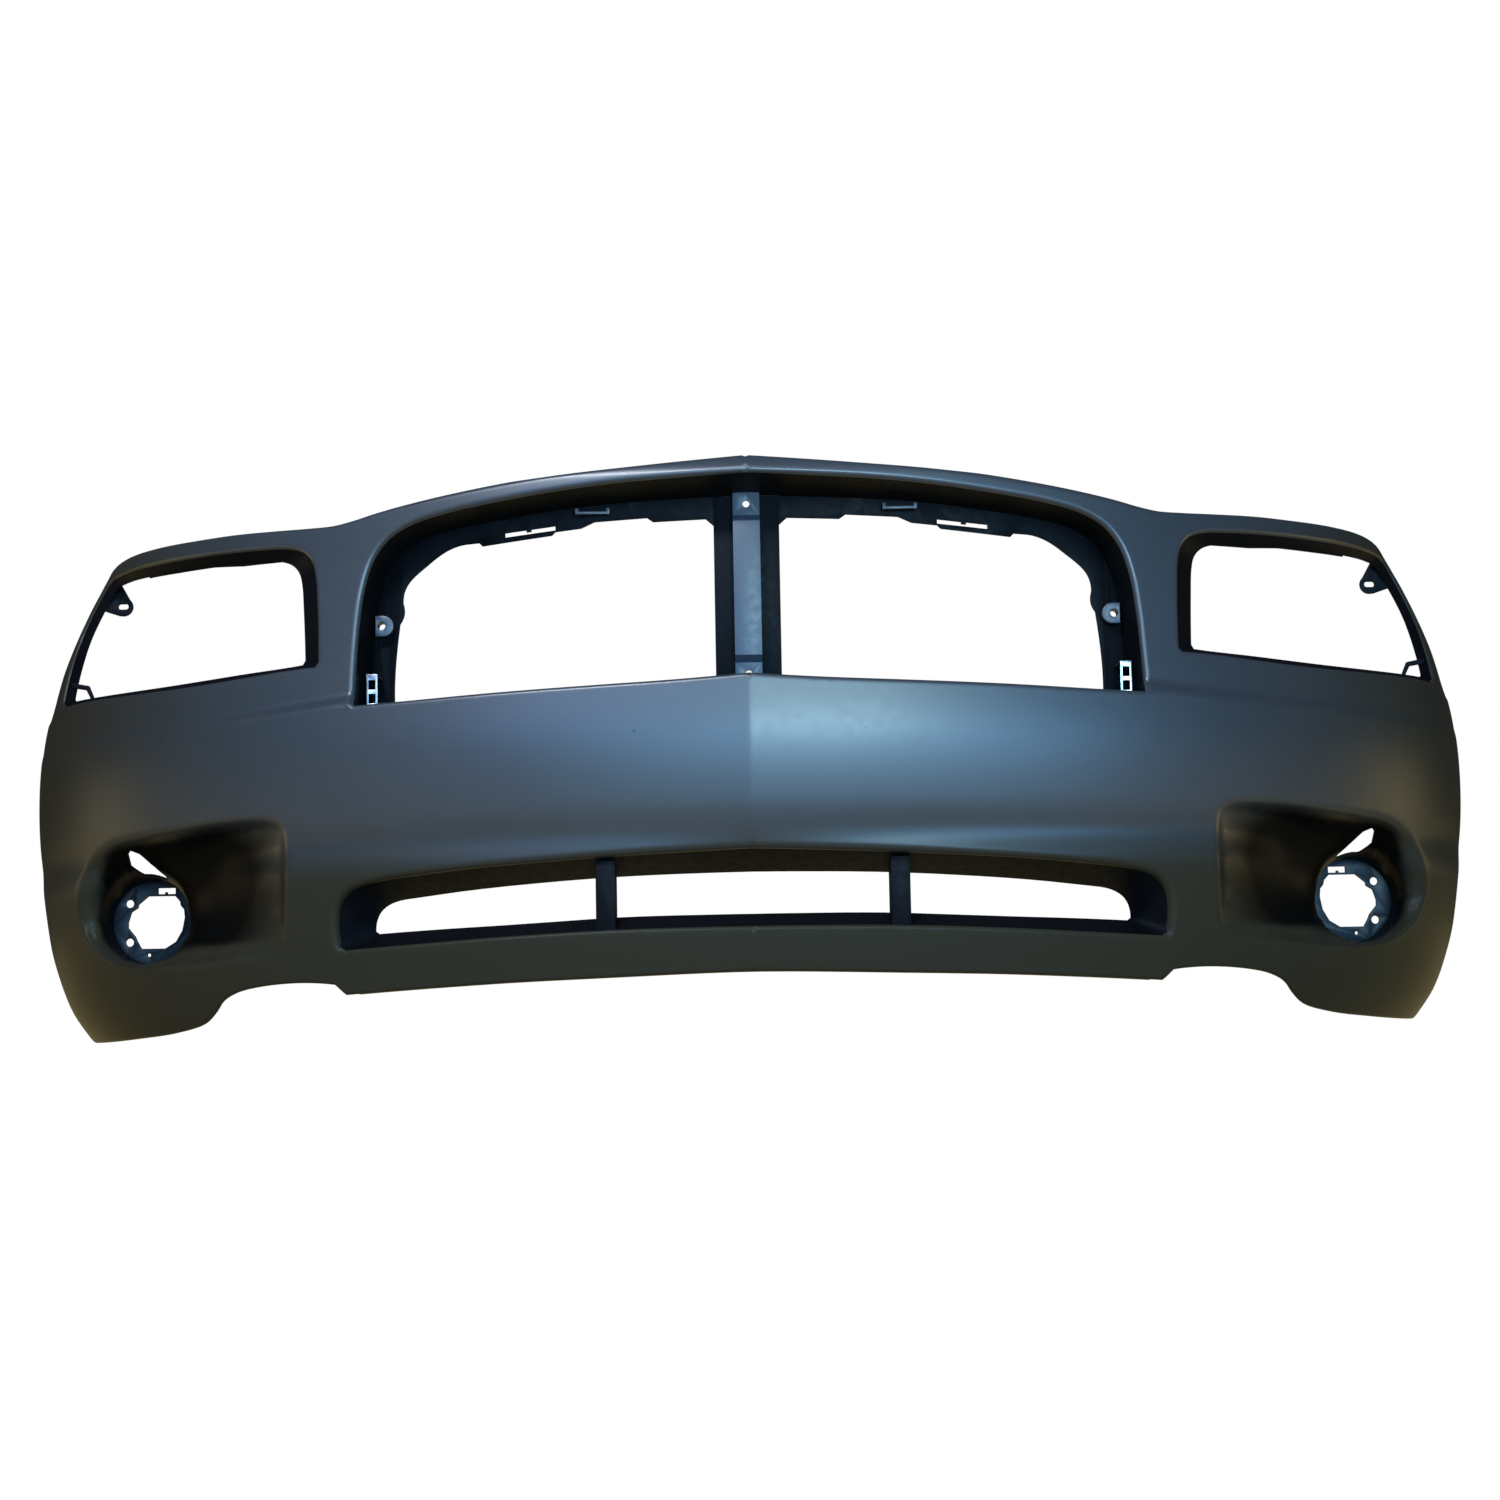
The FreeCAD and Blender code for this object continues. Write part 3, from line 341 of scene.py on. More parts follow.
def inside_loop(points, loop):
    """True for the points inside a closed loop."""
    x, y = points[:, 0], points[:, 1]
    hit = np.zeros(len(points), bool)
    for (ax, ay), (bx, by) in zip(loop, np.roll(loop, -1, axis=0)):
        if ay == by:
            continue
        cross = (ay > y) != (by > y)
        hit ^= cross & (x < (bx - ax) * (y - ay) / (by - ay) + ax)
    return hit


def distance_to(points, line, far=60):
    """Distance from each point to an open line; points farther off than far count as clear."""
    best = np.full(len(points), 1e9)
    for a, b in zip(line[:-1], line[1:]):
        near = (np.abs(points[:, 0] - a[0]) < far) & (np.abs(points[:, 1] - a[1]) < far)
        if not near.any():
            continue
        p, leg = points[near], b - a
        u = np.clip(((p - a) @ leg) / max(1e-9, leg @ leg), 0, 1)
        best[near] = np.minimum(best[near], np.linalg.norm(p - a - u[:, None] * leg, axis=1))
    return best


# ------------------------------------------ the skin
def arch_depth(z):
    """Depth of the wheel arch's edge at a height."""
    return ARCH_Y - math.sqrt(ARCH_R ** 2 - (z - ARCH_Z) ** 2)


def centre_line(z_from, z_to):
    """A stretch of the centre plane, where the half sheet meets its mirror image."""
    count = max(2, int(abs(z_to - z_from) / 5))
    return np.stack([np.zeros(count), np.linspace(z_from, z_to, count)], axis=-1)


def skin_edges():
    """The half skin's edge lines, each as (line, roll radius), in order round the half."""
    lower = [(front_to_run(smooth(piece)), LOWER_ROLL) for piece in LOWER_EDGE]
    tip = lower[-1][0][-1]
    corner, above = side_to_run([(arch_depth(z), z) for z in (FOOT_Z, FOOT_ROUND_Z)])
    u = np.linspace(0, 1, 30)[:, None]
    foot = tip * (1 - u) ** 2 + corner * 2 * u * (1 - u) + above * u * u
    rear_z = ARCH_Z + math.sqrt(ARCH_R ** 2 - (ARCH_Y - WING_END_Y) ** 2)
    arch = side_to_run([(arch_depth(z), z) for z in np.linspace(FOOT_ROUND_Z, rear_z, 90)])
    rear = side_to_run([(WING_END_Y, z)
                        for z in (rear_z, (rear_z + WING_TOP_Z) / 2, WING_TOP_Z)])
    wing = side_to_run(smooth(WING_TOP))
    strip = side_to_run(smooth(STRIP_EDGE))
    top = front_to_run(smooth(TOP_EDGE))[::-1]
    top = top[top[:, 0] < strip[-1, 0] - 2]
    strip_top = np.array([strip[-1], top[0]])
    grille = [front_to_run(smooth(p))[::-1] for p in GRILLE_MOUTH[::-1]]
    intake = [front_to_run(smooth(p))[::-1] for p in INTAKE_MOUTH[::-1]]
    return (lower + [(foot, LOWER_ROLL)]
            + [(line, WING_ROLL) for line in (arch, rear, wing, strip)]
            + [(strip_top, LOWER_ROLL), (top, TOP_ROLL)]
            + [(centre_line(TOP_EDGE[0][1], GRILLE_MOUTH[-1][-1][1]), 0)]
            + list(zip(grille, GRILLE_ROLLS[::-1]))
            + [(centre_line(GRILLE_MOUTH[0][0][1], INTAKE_MOUTH[-1][-1][1]), 0)]
            + list(zip(intake, INTAKE_ROLLS[::-1]))
            + [(centre_line(INTAKE_MOUTH[0][0][1], LOWER_EDGE[0][0][1]), 0)])


def beside(line, offset):
    """A line's points, moved off it to both sides."""
    leg = np.gradient(line, axis=0)
    leg /= np.maximum(1e-9, np.linalg.norm(leg, axis=1, keepdims=True))
    side = np.stack([-leg[:, 1], leg[:, 0]], axis=-1)
    return np.concatenate([line + side * offset, line - side * offset])


def on_sheet(points, rim, holes):
    """True for the points within the rim and outside the holes."""
    ok = inside_loop(points, rim)
    for hole in holes:
        ok &= ~inside_loop(points, hole)
    return ok


def even_grid(mouth):
    """Grid points over the sheet, finer over the shoulder step and down the lamp scoop."""
    def shoulder_at(t):
        return shoulder_z(np.interp(t, RUN_T, RUN_X))

    columns = np.concatenate([[1.5, 4.0], np.arange(8, RUN_T[-1], GRID_STEP)])
    grid = np.array([(t, z) for z in np.arange(-2, 672, GRID_STEP) for t in columns])
    on_step = np.abs(grid[:, 1] - shoulder_at(grid[:, 0]) - SHOULDER_RISE / 2) < 16
    grid = grid[~(on_step & (grid[:, 0] > STEP_FROM_RUN - 5))]
    band = np.array([(t, float(shoulder_at(t)) + rise)
                     for t in np.arange(STEP_FROM_RUN, RUN_T[-1], BAND_STEP)
                     for rise in BAND_RISES])
    scoop = np.array([(t, z) for z in np.arange(92, 256, SCOOP_STEP)
                      for t in np.arange(mouth[:, 0].min(), mouth[:, 0].max(), SCOOP_STEP)])
    return np.concatenate([grid[~inside_loop(grid, mouth)], band,
                           scoop[inside_loop(scoop, mouth)]])


def fill_points(rolled, mouth_line, seat_line, rim, holes):
    """Points of the sheet: rings round every edge, which carry its roll, and a grid between."""
    grid = even_grid(mouth_line[:-1])
    grid = grid[on_sheet(grid, rim, holes)]
    clear = np.full(len(grid), 1e9)
    for line, taken in rolled + [(mouth_line, MOUTH_CLEAR), (seat_line, SEAT_CLEAR)]:
        clear = np.minimum(clear, distance_to(grid, line) - taken)
    kept = [grid[clear > GRID_CLEAR]]
    rings = []
    for line, r in rolled:
        rings += [(line, r * (1 - math.cos(math.radians(turned)))) for turned in ROLL_TURNS]
        rings.append((line, r + AFTER_ROLL))
    rings += [(mouth_line, offset) for offset in MOUTH_RINGS]
    rings += [(seat_line, offset) for offset in SEAT_RINGS]
    lines = [line for line, _ in rolled] + [mouth_line, seat_line]
    for own, offset in rings:
        ring = beside(own, offset)
        ring = ring[on_sheet(ring, rim, holes)]
        ring = ring[ring[:, 0] > CENTRE_CLEAR]
        nearest = np.min([distance_to(ring, line) for line in lines], axis=0)
        kept.append(ring[nearest > offset * 0.97])
    points = np.concatenate(kept)
    cells = np.round(points / POINT_CELL).astype(int)   # one point to a cell
    _, first = np.unique(cells, axis=0, return_index=True)
    return points[np.sort(first)]


def triangulate(loops, points, rim, holes):
    """Flat triangles that follow the loops, and the index of each point given."""
    verts, constraints = [], []
    for loop in loops:
        start = len(verts)
        verts += loop.tolist()
        constraints += [(start + i, start + (i + 1) % len(loop)) for i in range(len(loop))]
    verts += points.tolist()
    found, _, triangles, origin, _, _ = delaunay_2d_cdt([Vector(v) for v in verts],
                                                        constraints, [], 0, 1e-6)
    flat = np.array([(v.x, v.y) for v in found])
    triangles = np.array(triangles)
    triangles = triangles[on_sheet(flat[triangles].mean(axis=1), rim, holes)]
    return flat, triangles, {old: new for new, olds in enumerate(origin) for old in olds}


def neighbour_mean_over(flat, triangles):
    """A function that gives each point its neighbours' mean, the near ones counting more."""
    legs = np.concatenate([triangles[:, (0, 1)], triangles[:, (1, 2)], triangles[:, (2, 0)]])
    a, b = np.unique(np.sort(legs, axis=1), axis=0).T
    weight = 1 / np.linalg.norm(flat[a] - flat[b], axis=1)
    total = np.bincount(a, weight, len(flat)) + np.bincount(b, weight, len(flat))
    total = np.maximum(total, 1e-9)

    def neighbour_mean(value):
        near = (np.bincount(a, weight * value[b], len(flat))
                + np.bincount(b, weight * value[a], len(flat)))
        return near / total

    return neighbour_mean


def sink_scoop(outer, flat, triangles, mouth_line, seat_index):
    """Sinks the sheet inside the mouth down to the lamp seat; gives how much painted shade
    darkens each point.

    Each point sinks by a share that is 0 all round the mouth, 1 all round the seat and the
    mean of its neighbours' in between. The rest of the way is a steep drop next to the seat.
    """
    neighbour_mean = neighbour_mean_over(flat, triangles)
    from_mouth = distance_to(flat, mouth_line)
    inside = inside_loop(flat, mouth_line[:-1]) & (from_mouth > 0.05)
    free = inside.copy()
    free[seat_index] = False
    share = np.zeros(len(flat))
    share[seat_index] = 1.0
    for _ in range(SETTLE_ROUNDS):
        share = np.where(free, neighbour_mean(share), share)
    inboard = ramp((INBOARD_X[0] - outer[:, 0]) / INBOARD_X[1])
    upper = ramp((outer[:, 2] - UPPER_Z[0]) / UPPER_Z[1])
    sink = ((1 - DROP_SHARE) * share ** (SINK_POWER - INBOARD_RELIEF * inboard)
            + DROP_SHARE * share ** DROP_POWER)
    outer[inside, 1] += (sink * (FOG_Y - outer[:, 1]))[inside]
    outer[seat_index] = np.insert(SEAT_RIM, 1, FOG_Y, axis=1)

    # The mouth's edge is eased, most where the scoop leaves the face gently.
    reach = EASE_REACH + GENTLE_REACH * np.maximum(inboard, upper)
    ease = np.where(from_mouth < reach, 1 - from_mouth / reach, 0.0)
    ease[seat_index] = 0.0
    for _ in range(EASE_ROUNDS):
        for axis in (0, 1, 2):
            pull = neighbour_mean(outer[:, axis]) - outer[:, axis]
            outer[:, axis] += ease * EASE_PULL * pull
    # Painted shade down the scoop: near black as it sinks, starting sooner on the upper and
    # inboard walls.
    off_floor = ramp((outer[:, 2] - OFF_FLOOR_Z[0]) / OFF_FLOOR_Z[1])
    sheltered = np.maximum(upper, inboard * off_floor)
    return ramp((sink - DROP_SHARE * (1 - sheltered)) * SCOOP_SHADE_STEEPNESS)


def build_skin():
    """The skin with both lamp scoops: half a sheet, rolled at its edges, mirrored, thickened."""
    edges = skin_edges()
    lamp = [front_to_run(smooth(p)) for p in HEADLAMP_MOUTH]
    rolled = [(line, r) for line, r in edges if r > 0] + list(zip(lamp, LAMP_ROLLS))
    rim, lamp_loop = join([line for line, _ in edges])[:-1], join(lamp)[:-1]
    mouth_line = front_to_run(smooth(FOG_MOUTH + FOG_MOUTH[:1], 5.0))
    seat = front_to_run(SEAT_RIM)
    seat_line = np.concatenate([seat, seat[:1]])
    holes = [lamp_loop, seat]
    points = fill_points(rolled, mouth_line, seat_line, rim, holes)
    loops = [rim, lamp_loop, mouth_line[:-1], seat]
    flat, triangles, index_of = triangulate(loops, points, rim, holes)
    seat_start = sum(len(loop) for loop in loops[:-1])
    seat_index = [index_of[seat_start + i] for i in range(len(seat))]

    roll = np.zeros(len(flat))
    for line, r in rolled:
        d = distance_to(flat, line)
        round_off = r - np.sqrt(np.maximum(0, r * r - (r - d) ** 2))
        roll = np.maximum(roll, np.where(d < r, round_off, 0))
    run, z = flat.T
    outer = sheet_point(run, z) - sheet_normal(run, z) * roll[:, None]
    outer[run < 1e-6, 0] = 0.0
    painted_scoop_shade = sink_scoop(outer, flat, triangles, mouth_line, seat_index)

    mesh = mesh_of("fascia_skin_panel", outer, triangles.tolist())
    # The scoop's painted shade rides on the mesh as a point attribute.
    scoop_shade_attr = mesh.attributes.new("painted_scoop_shade", "FLOAT", "POINT")
    scoop_shade_attr.data.foreach_set("value", painted_scoop_shade)
    piece = put_in_scene("fascia_skin_panel", mesh)
    cut_slot(piece, FOG_SLIT, y_from=180.0, y_to=338.0)
    finish_with(piece, "MIRROR", use_axis=(True, False, False), use_clip=False,
                merge_threshold=0.00002)
    only(piece)
    bpy.ops.object.mode_set(mode="EDIT")
    bpy.ops.mesh.select_all(action="SELECT")
    bpy.ops.mesh.normals_make_consistent(inside=False)
    bpy.ops.object.mode_set(mode="OBJECT")
    front = min(piece.data.polygons, key=lambda p: p.center.y)
    if front.normal.y > 0:
        piece.data.flip_normals()
    thicken(piece, SKIN_WALL)
    shade_smooth(piece, 50)
    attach(piece, "root")
    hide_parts("fascia_skin", "fog_lamp_scoop_left", "fog_lamp_scoop_right")


def cut_slot(piece, outline, y_from, y_to, reach=0.05):
    """Cuts a hole outlined in the front view through the faces between two depths.

    Only faces within reach, in metres, of the outline's middle are looked at.
    """
    corners = [Vector(((x - TAB_LIFT[0]) * MM, 0, (z - TAB_LIFT[2]) * MM)) for x, z in outline]
    middle = sum(corners, Vector()) / len(corners)
    near, far = (y_from - TAB_LIFT[1]) * MM, (y_to - TAB_LIFT[1]) * MM
    bm = bmesh.new()
    bm.from_mesh(piece.data)

    def close():
        found = [f for f in bm.faces if f.calc_center_median().y > near
                 and (f.calc_center_median() - middle).xz.length < reach]
        return (found + list({e for f in found for e in f.edges})
                + list({v for f in found for v in f.verts}))

    sides = list(zip(corners, corners[1:] + corners[:1]))
    planes = [(a, Vector((b.z - a.z, 0, a.x - b.x))) for a, b in sides]
    planes.append(((0, far, 0), (0, 1, 0)))
    for spot, normal in planes:
        bmesh.ops.bisect_plane(bm, geom=close(), plane_co=spot, plane_no=normal, dist=1e-6)
    gone = []
    for f in bm.faces:
        c = f.calc_center_median()
        if not near < c.y < far or (c - middle).xz.length > reach:
            continue
        turns = [(b.x - a.x) * (c.z - a.z) - (b.z - a.z) * (c.x - a.x) for a, b in sides]
        if all(t > 0 for t in turns) or all(t < 0 for t in turns):
            gone.append(f)
    bmesh.ops.delete(bm, geom=gone, context="FACES")
    bm.to_mesh(piece.data)
    bm.free()


# ------------------------------------------ returns round the openings
def even(points, count):
    """A flowing line through points, with a given number of points."""
    fine = smooth(points, 1.0) if len(points) > 2 else np.asarray(points, float)
    return share_out(fine, count=count)


def build_return(name, mouth, back, rolls, back_y, crosses_centre, stands_for, rows=14):
    """A tubular wall that carries on from a rolled edge of the skin to its back outline."""
    lengths = [np.linalg.norm(np.diff(np.array(p), axis=0), axis=1).sum() for p in mouth]
    counts = [max(2, int(length / 5)) for length in lengths]
    front_line = join([even(p, n) for p, n in zip(mouth, counts)])
    back_line = join([even(p, n) for p, n in zip(back, counts)])
    roll = np.concatenate([np.full(n if i == 0 else n - 1, r)
                           for i, (n, r) in enumerate(zip(counts, rolls))])
    run, z = front_to_run(front_line).T
    start = sheet_point(run, z) - sheet_normal(run, z) * (roll - RETURN_LAP)[:, None]
    end = np.stack([back_line[:, 0], back_y(back_line), back_line[:, 1]], axis=-1)
    if crosses_centre:
        start[[0, -1], 0] = 0.0
        end[[0, -1], 0] = 0.0
        flip = np.array([-1.0, 1.0, 1.0])
        start = np.concatenate([start, (start[1:-1] * flip)[::-1]])
        end = np.concatenate([end, (end[1:-1] * flip)[::-1]])
    else:
        start, end = start[:-1], end[:-1]
    n = len(start)
    verts = np.concatenate([start * (1 - k / rows) + end * (k / rows) for k in range(rows + 1)])
    faces = [(k * n + i, k * n + (i + 1) % n, (k + 1) * n + (i + 1) % n, (k + 1) * n + i)
             for k in range(rows) for i in range(n)]
    piece = put_in_scene(name, mesh_of(name, verts, faces))
    stand(piece, stands_for)
    middle = Vector(((end.mean(axis=0) - TAB_LIFT) * MM).tolist())
    face = piece.data.polygons[n * (rows // 2) + n // 4]
    if face.normal.dot(middle - face.center) < 0:
        piece.data.flip_normals()
    thicken(piece, RETURN_WALL)
    shade_smooth(piece, 45)
    return piece


def mirror_copy(piece, name, stands_for):
    """The other side's piece, with its own mesh turned the right way out."""
    mesh = piece.data.copy()
    mesh.name = name
    for v in mesh.vertices:
        v.co.x = -v.co.x
    mesh.flip_normals()
    stand(put_in_scene(name, mesh), stands_for)


# ------------------------------------------ moulded and pressed pieces taken over from the frame
def dress(node, edge=0.7, segments=2):
    """A copy of a frame node with its doubles merged and its corners eased."""
    mesh = frame["nodes"][node].data.copy()
    mesh.name = node + "_moulded"
    piece = put_in_scene(node + "_moulded", mesh)
    only(piece)
    bpy.ops.object.mode_set(mode="EDIT")
    bpy.ops.mesh.select_all(action="SELECT")
    bpy.ops.mesh.remove_doubles(threshold=0.00002)
    bpy.ops.mesh.dissolve_limited(angle_limit=math.radians(0.6))
    bpy.ops.object.mode_set(mode="OBJECT")
    if mesh.has_custom_normals:
        bpy.ops.mesh.customdata_custom_splitnormals_clear()
    finish_with(piece, "BEVEL", width=edge * MM, segments=segments, limit_method="ANGLE",
                angle_limit=math.radians(32), use_clamp_overlap=True)
    shade_smooth(piece, 35)
    stand(piece, node)


# ------------------------------------------ finishes
# Sockets of a mix node, by their place, because several share a name.
FLOAT_A, FLOAT_B, FLOAT_RESULT = 2, 3, 0
COLOUR_A, COLOUR_B, COLOUR_RESULT = 6, 7, 2


def add(tree, kind, values=None, **settings):
    """A new node with its settings and its sockets' values."""
    node = tree.nodes.new(kind)
    for key, value in settings.items():
        setattr(node, key, value)
    for socket, value in (values or {}).items():
        node.inputs[socket].default_value = value
    return node


def wire(tree, *links):
    """Links given as (node, output, node, input)."""
    for source, out, target, into in links:
        tree.links.new(source.outputs[out], target.inputs[into])


def add_map_range(tree, **ends):
    """A range node; from_ and to_ each give its low and high end."""
    values = {}
    for key, pair in ends.items():
        label = key.strip("_").title()
        values[label + " Min"], values[label + " Max"] = pair
    return add(tree, "ShaderNodeMapRange", values)


def node_group(name, inputs, outputs):
    """A shader group with its sockets, and its two end nodes."""
    group = bpy.data.node_groups.new(name, "ShaderNodeTree")
    for label, kind, default in inputs:
        socket = group.interface.new_socket(label, in_out="INPUT", socket_type=kind)
        if default is not None:
            socket.default_value = default
    for label, kind in outputs:
        group.interface.new_socket(label, in_out="OUTPUT", socket_type=kind)
    return group, group.nodes.new("NodeGroupInput"), group.nodes.new("NodeGroupOutput")


def make_fine_grain():
    """Sprayed or moulded surface: a height of grain over a slow ripple, and the ripple alone."""
    g, gin, gout = node_group("fine_grain", [("Vector", "NodeSocketVector", None),
                                             ("Grain Scale", "NodeSocketFloat", 900.0),
                                             ("Ripple Scale", "NodeSocketFloat", 60.0),
                                             ("Grain", "NodeSocketFloat", 0.5)],
                              [("Height", "NodeSocketFloat"), ("Mask", "NodeSocketFloat")])
    grain = add(g, "ShaderNodeTexNoise", {"Detail": 3.0})
    ripple = add(g, "ShaderNodeTexNoise", {"Detail": 2.0})
    mix = add(g, "ShaderNodeMix")
    wire(g, (gin, "Vector", grain, "Vector"), (gin, "Vector", ripple, "Vector"),
         (gin, "Grain Scale", grain, "Scale"), (gin, "Ripple Scale", ripple, "Scale"),
         (gin, "Grain", mix, "Factor"), (ripple, "Fac", mix, FLOAT_A),
         (grain, "Fac", mix, FLOAT_B), (mix, FLOAT_RESULT, gout, "Height"),
         (ripple, "Fac", gout, "Mask"))
    return g


def make_cloudy_tone():
    """Two tones drifting into each other over a stated size, with faint specks."""
    g, gin, gout = node_group("cloudy_tone", [("Vector", "NodeSocketVector", None),
                                              ("Scale", "NodeSocketFloat", 3.0),
                                              ("Tone A", "NodeSocketColor", (0, 0, 0, 1)),
                                              ("Tone B", "NodeSocketColor", (1, 1, 1, 1)),
                                              ("Speck", "NodeSocketColor", (1, 1, 1, 1)),
                                              ("Speck Amount", "NodeSocketFloat", 0.1)],
                              [("Color", "NodeSocketColor"), ("Mask", "NodeSocketFloat")])
    cloud = add(g, "ShaderNodeTexNoise", {"Detail": 4.0, "Roughness": 0.6})
    spread = add_map_range(g, from_=(0.36, 0.64))
    tones = add(g, "ShaderNodeMix", data_type="RGBA")
    speck = add(g, "ShaderNodeTexNoise", {"Scale": 420.0, "Detail": 1.0})
    cut = add_map_range(g, from_=(0.66, 0.74))
    amount = add(g, "ShaderNodeMath", operation="MULTIPLY")
    specked = add(g, "ShaderNodeMix", data_type="RGBA")
    wire(g, (gin, "Vector", cloud, "Vector"), (gin, "Vector", speck, "Vector"),
         (gin, "Scale", cloud, "Scale"), (cloud, "Fac", spread, "Value"),
         (spread, "Result", tones, "Factor"), (gin, "Tone A", tones, COLOUR_A),
         (gin, "Tone B", tones, COLOUR_B), (speck, "Fac", cut, "Value"),
         (cut, "Result", amount, 0), (gin, "Speck Amount", amount, 1),
         (amount, "Value", specked, "Factor"), (tones, COLOUR_RESULT, specked, COLOUR_A),
         (gin, "Speck", specked, COLOUR_B), (specked, COLOUR_RESULT, gout, "Color"),
         (spread, "Result", gout, "Mask"))
    return g


GRAIN = make_fine_grain()
TONE = make_cloudy_tone()
BUMP_HEIGHT = 0.0006

# Painted shade on the skin: where it darkens, dulls and warms the coat towards the wings and the
# lower edge, in metres of the row frame, and to what.
SHADE_FROM_SIDE = (0.50, 0.93)           # from this half-width to that one
SHADE_FROM_LOW = (-0.385, -0.475)        # from this height down to that one
SHADE_AT_MOST, SHADED_SPECULAR = 0.94, 0.025
# Painted shade down the lamp scoops ends at this near-black tone.
SCOOP_SHADE_TONE = (0.0015, 0.0015, 0.0015, 1)
# Painted shade: a small near-black dot in each plate-hole dimple.
PLATE_DIMPLE, PLATE_DIMPLE_R = (0.130, 0.0, -0.306), 0.0021
PLATE_DIMPLE_SHADE_TONE = (0.001, 0.001, 0.001, 1)


def paint_shade_on_coat(tree, shader, where, tone, shade_tone, amount, specular):
    """Paints shade on the coat; gives the node whose colour result replaces the tone's.

    The painted shade makes the coat duller and warmer towards the wings and the lower edge, and
    near black and dull down the lamp scoops. Each plate-hole dimple gets a small near-black dot
    of painted shade.
    """
    apart = add(tree, "ShaderNodeSeparateXYZ")
    out = add(tree, "ShaderNodeMath", operation="ABSOLUTE")
    side = add_map_range(tree, from_=SHADE_FROM_SIDE)
    low = add_map_range(tree, from_=SHADE_FROM_LOW)
    side.interpolation_type = low.interpolation_type = "SMOOTHSTEP"
    either = add(tree, "ShaderNodeMath", operation="MAXIMUM")
    share = add(tree, "ShaderNodeMath", {1: amount}, operation="MULTIPLY")
    over = add(tree, "ShaderNodeMix", data_type="RGBA")
    over.inputs[COLOUR_B].default_value = (*shade_tone, 1)
    # Painted shade down the lamp scoops, read from the skin's point attribute.
    scoop_shade_attr = add(tree, "ShaderNodeAttribute", attribute_name="painted_scoop_shade")
    scoop_shaded = add(tree, "ShaderNodeMix", data_type="RGBA")
    scoop_shaded.inputs[COLOUR_B].default_value = SCOOP_SHADE_TONE
    weak = add_map_range(tree, to_=(0.0, SHADE_AT_MOST))
    most = add(tree, "ShaderNodeMath", operation="MAXIMUM")
    dull = add_map_range(tree, to_=(specular, SHADED_SPECULAR))
    fold = add(tree, "ShaderNodeCombineXYZ")
    gap = add(tree, "ShaderNodeVectorMath", {1: PLATE_DIMPLE}, operation="DISTANCE")
    dot = add(tree, "ShaderNodeMath", {1: PLATE_DIMPLE_R}, operation="LESS_THAN")
    dimple_shaded = add(tree, "ShaderNodeMix", data_type="RGBA")
    dimple_shaded.inputs[COLOUR_B].default_value = PLATE_DIMPLE_SHADE_TONE
    wire(tree, (where, "Object", apart, "Vector"), (apart, "X", out, 0),
         (out, "Value", side, "Value"), (apart, "Z", low, "Value"),
         (side, "Result", either, 0), (low, "Result", either, 1),
         (either, "Value", share, 0), (share, "Value", over, "Factor"),
         (tone, "Color", over, COLOUR_A), (scoop_shade_attr, "Fac", scoop_shaded, "Factor"),
         (over, COLOUR_RESULT, scoop_shaded, COLOUR_A), (either, "Value", weak, "Value"),
         (weak, "Result", most, 0), (scoop_shade_attr, "Fac", most, 1), (most, "Value", dull, "Value"),
         (dull, "Result", shader, "Specular IOR Level"),
         (out, "Value", fold, "X"), (apart, "Z", fold, "Z"), (fold, "Vector", gap, 0),
         (gap, "Value", dot, 0), (dot, "Value", dimple_shaded, "Factor"),
         (scoop_shaded, COLOUR_RESULT, dimple_shaded, COLOUR_A))
    return dimple_shaded


def finish_material(name, tones, speck, speck_amount, tone_scale, rough, grain_scale,
                    ripple_scale, grain, bump, metallic=0.0, specular=0.5, side_shade=None):
    """A procedural finish: drifting tone, fine grain and a roughness that follows the ripple."""
    mat = bpy.data.materials.new(name)
    mat.use_nodes = True
    tree = mat.node_tree
    shader = tree.nodes["Principled BSDF"]
    shader.inputs["Metallic"].default_value = metallic
    shader.inputs["Specular IOR Level"].default_value = specular
    where = add(tree, "ShaderNodeTexCoord")
    tone = add(tree, "ShaderNodeGroup", node_tree=TONE)
    for socket, value in (("Scale", tone_scale), ("Tone A", (*tones[0], 1)),
                          ("Tone B", (*tones[1], 1)), ("Speck", (*speck, 1)),
                          ("Speck Amount", speck_amount)):
        tone.inputs[socket].default_value = value
    surface = add(tree, "ShaderNodeGroup", node_tree=GRAIN)
    for socket, value in (("Grain Scale", grain_scale), ("Ripple Scale", ripple_scale),
                          ("Grain", grain)):
        surface.inputs[socket].default_value = value
    spread = add_map_range(tree, from_=(0.3, 0.7), to_=rough)
    raise_it = add(tree, "ShaderNodeBump", {"Strength": bump, "Distance": BUMP_HEIGHT})
    wire(tree, (where, "Object", tone, "Vector"), (where, "Object", surface, "Vector"),
         (surface, "Mask", spread, "Value"), (spread, "Result", shader, "Roughness"),
         (surface, "Height", raise_it, "Height"), (raise_it, "Normal", shader, "Normal"))
    # Only the skin gets painted shade towards its wings, its lower edge and down its lamp scoops.
    if side_shade:
        last = paint_shade_on_coat(tree, shader, where, tone, *side_shade, specular)
        wire(tree, (last, COLOUR_RESULT, shader, "Base Color"))
    else:
        wire(tree, (tone, "Color", shader, "Base Color"))
    return mat


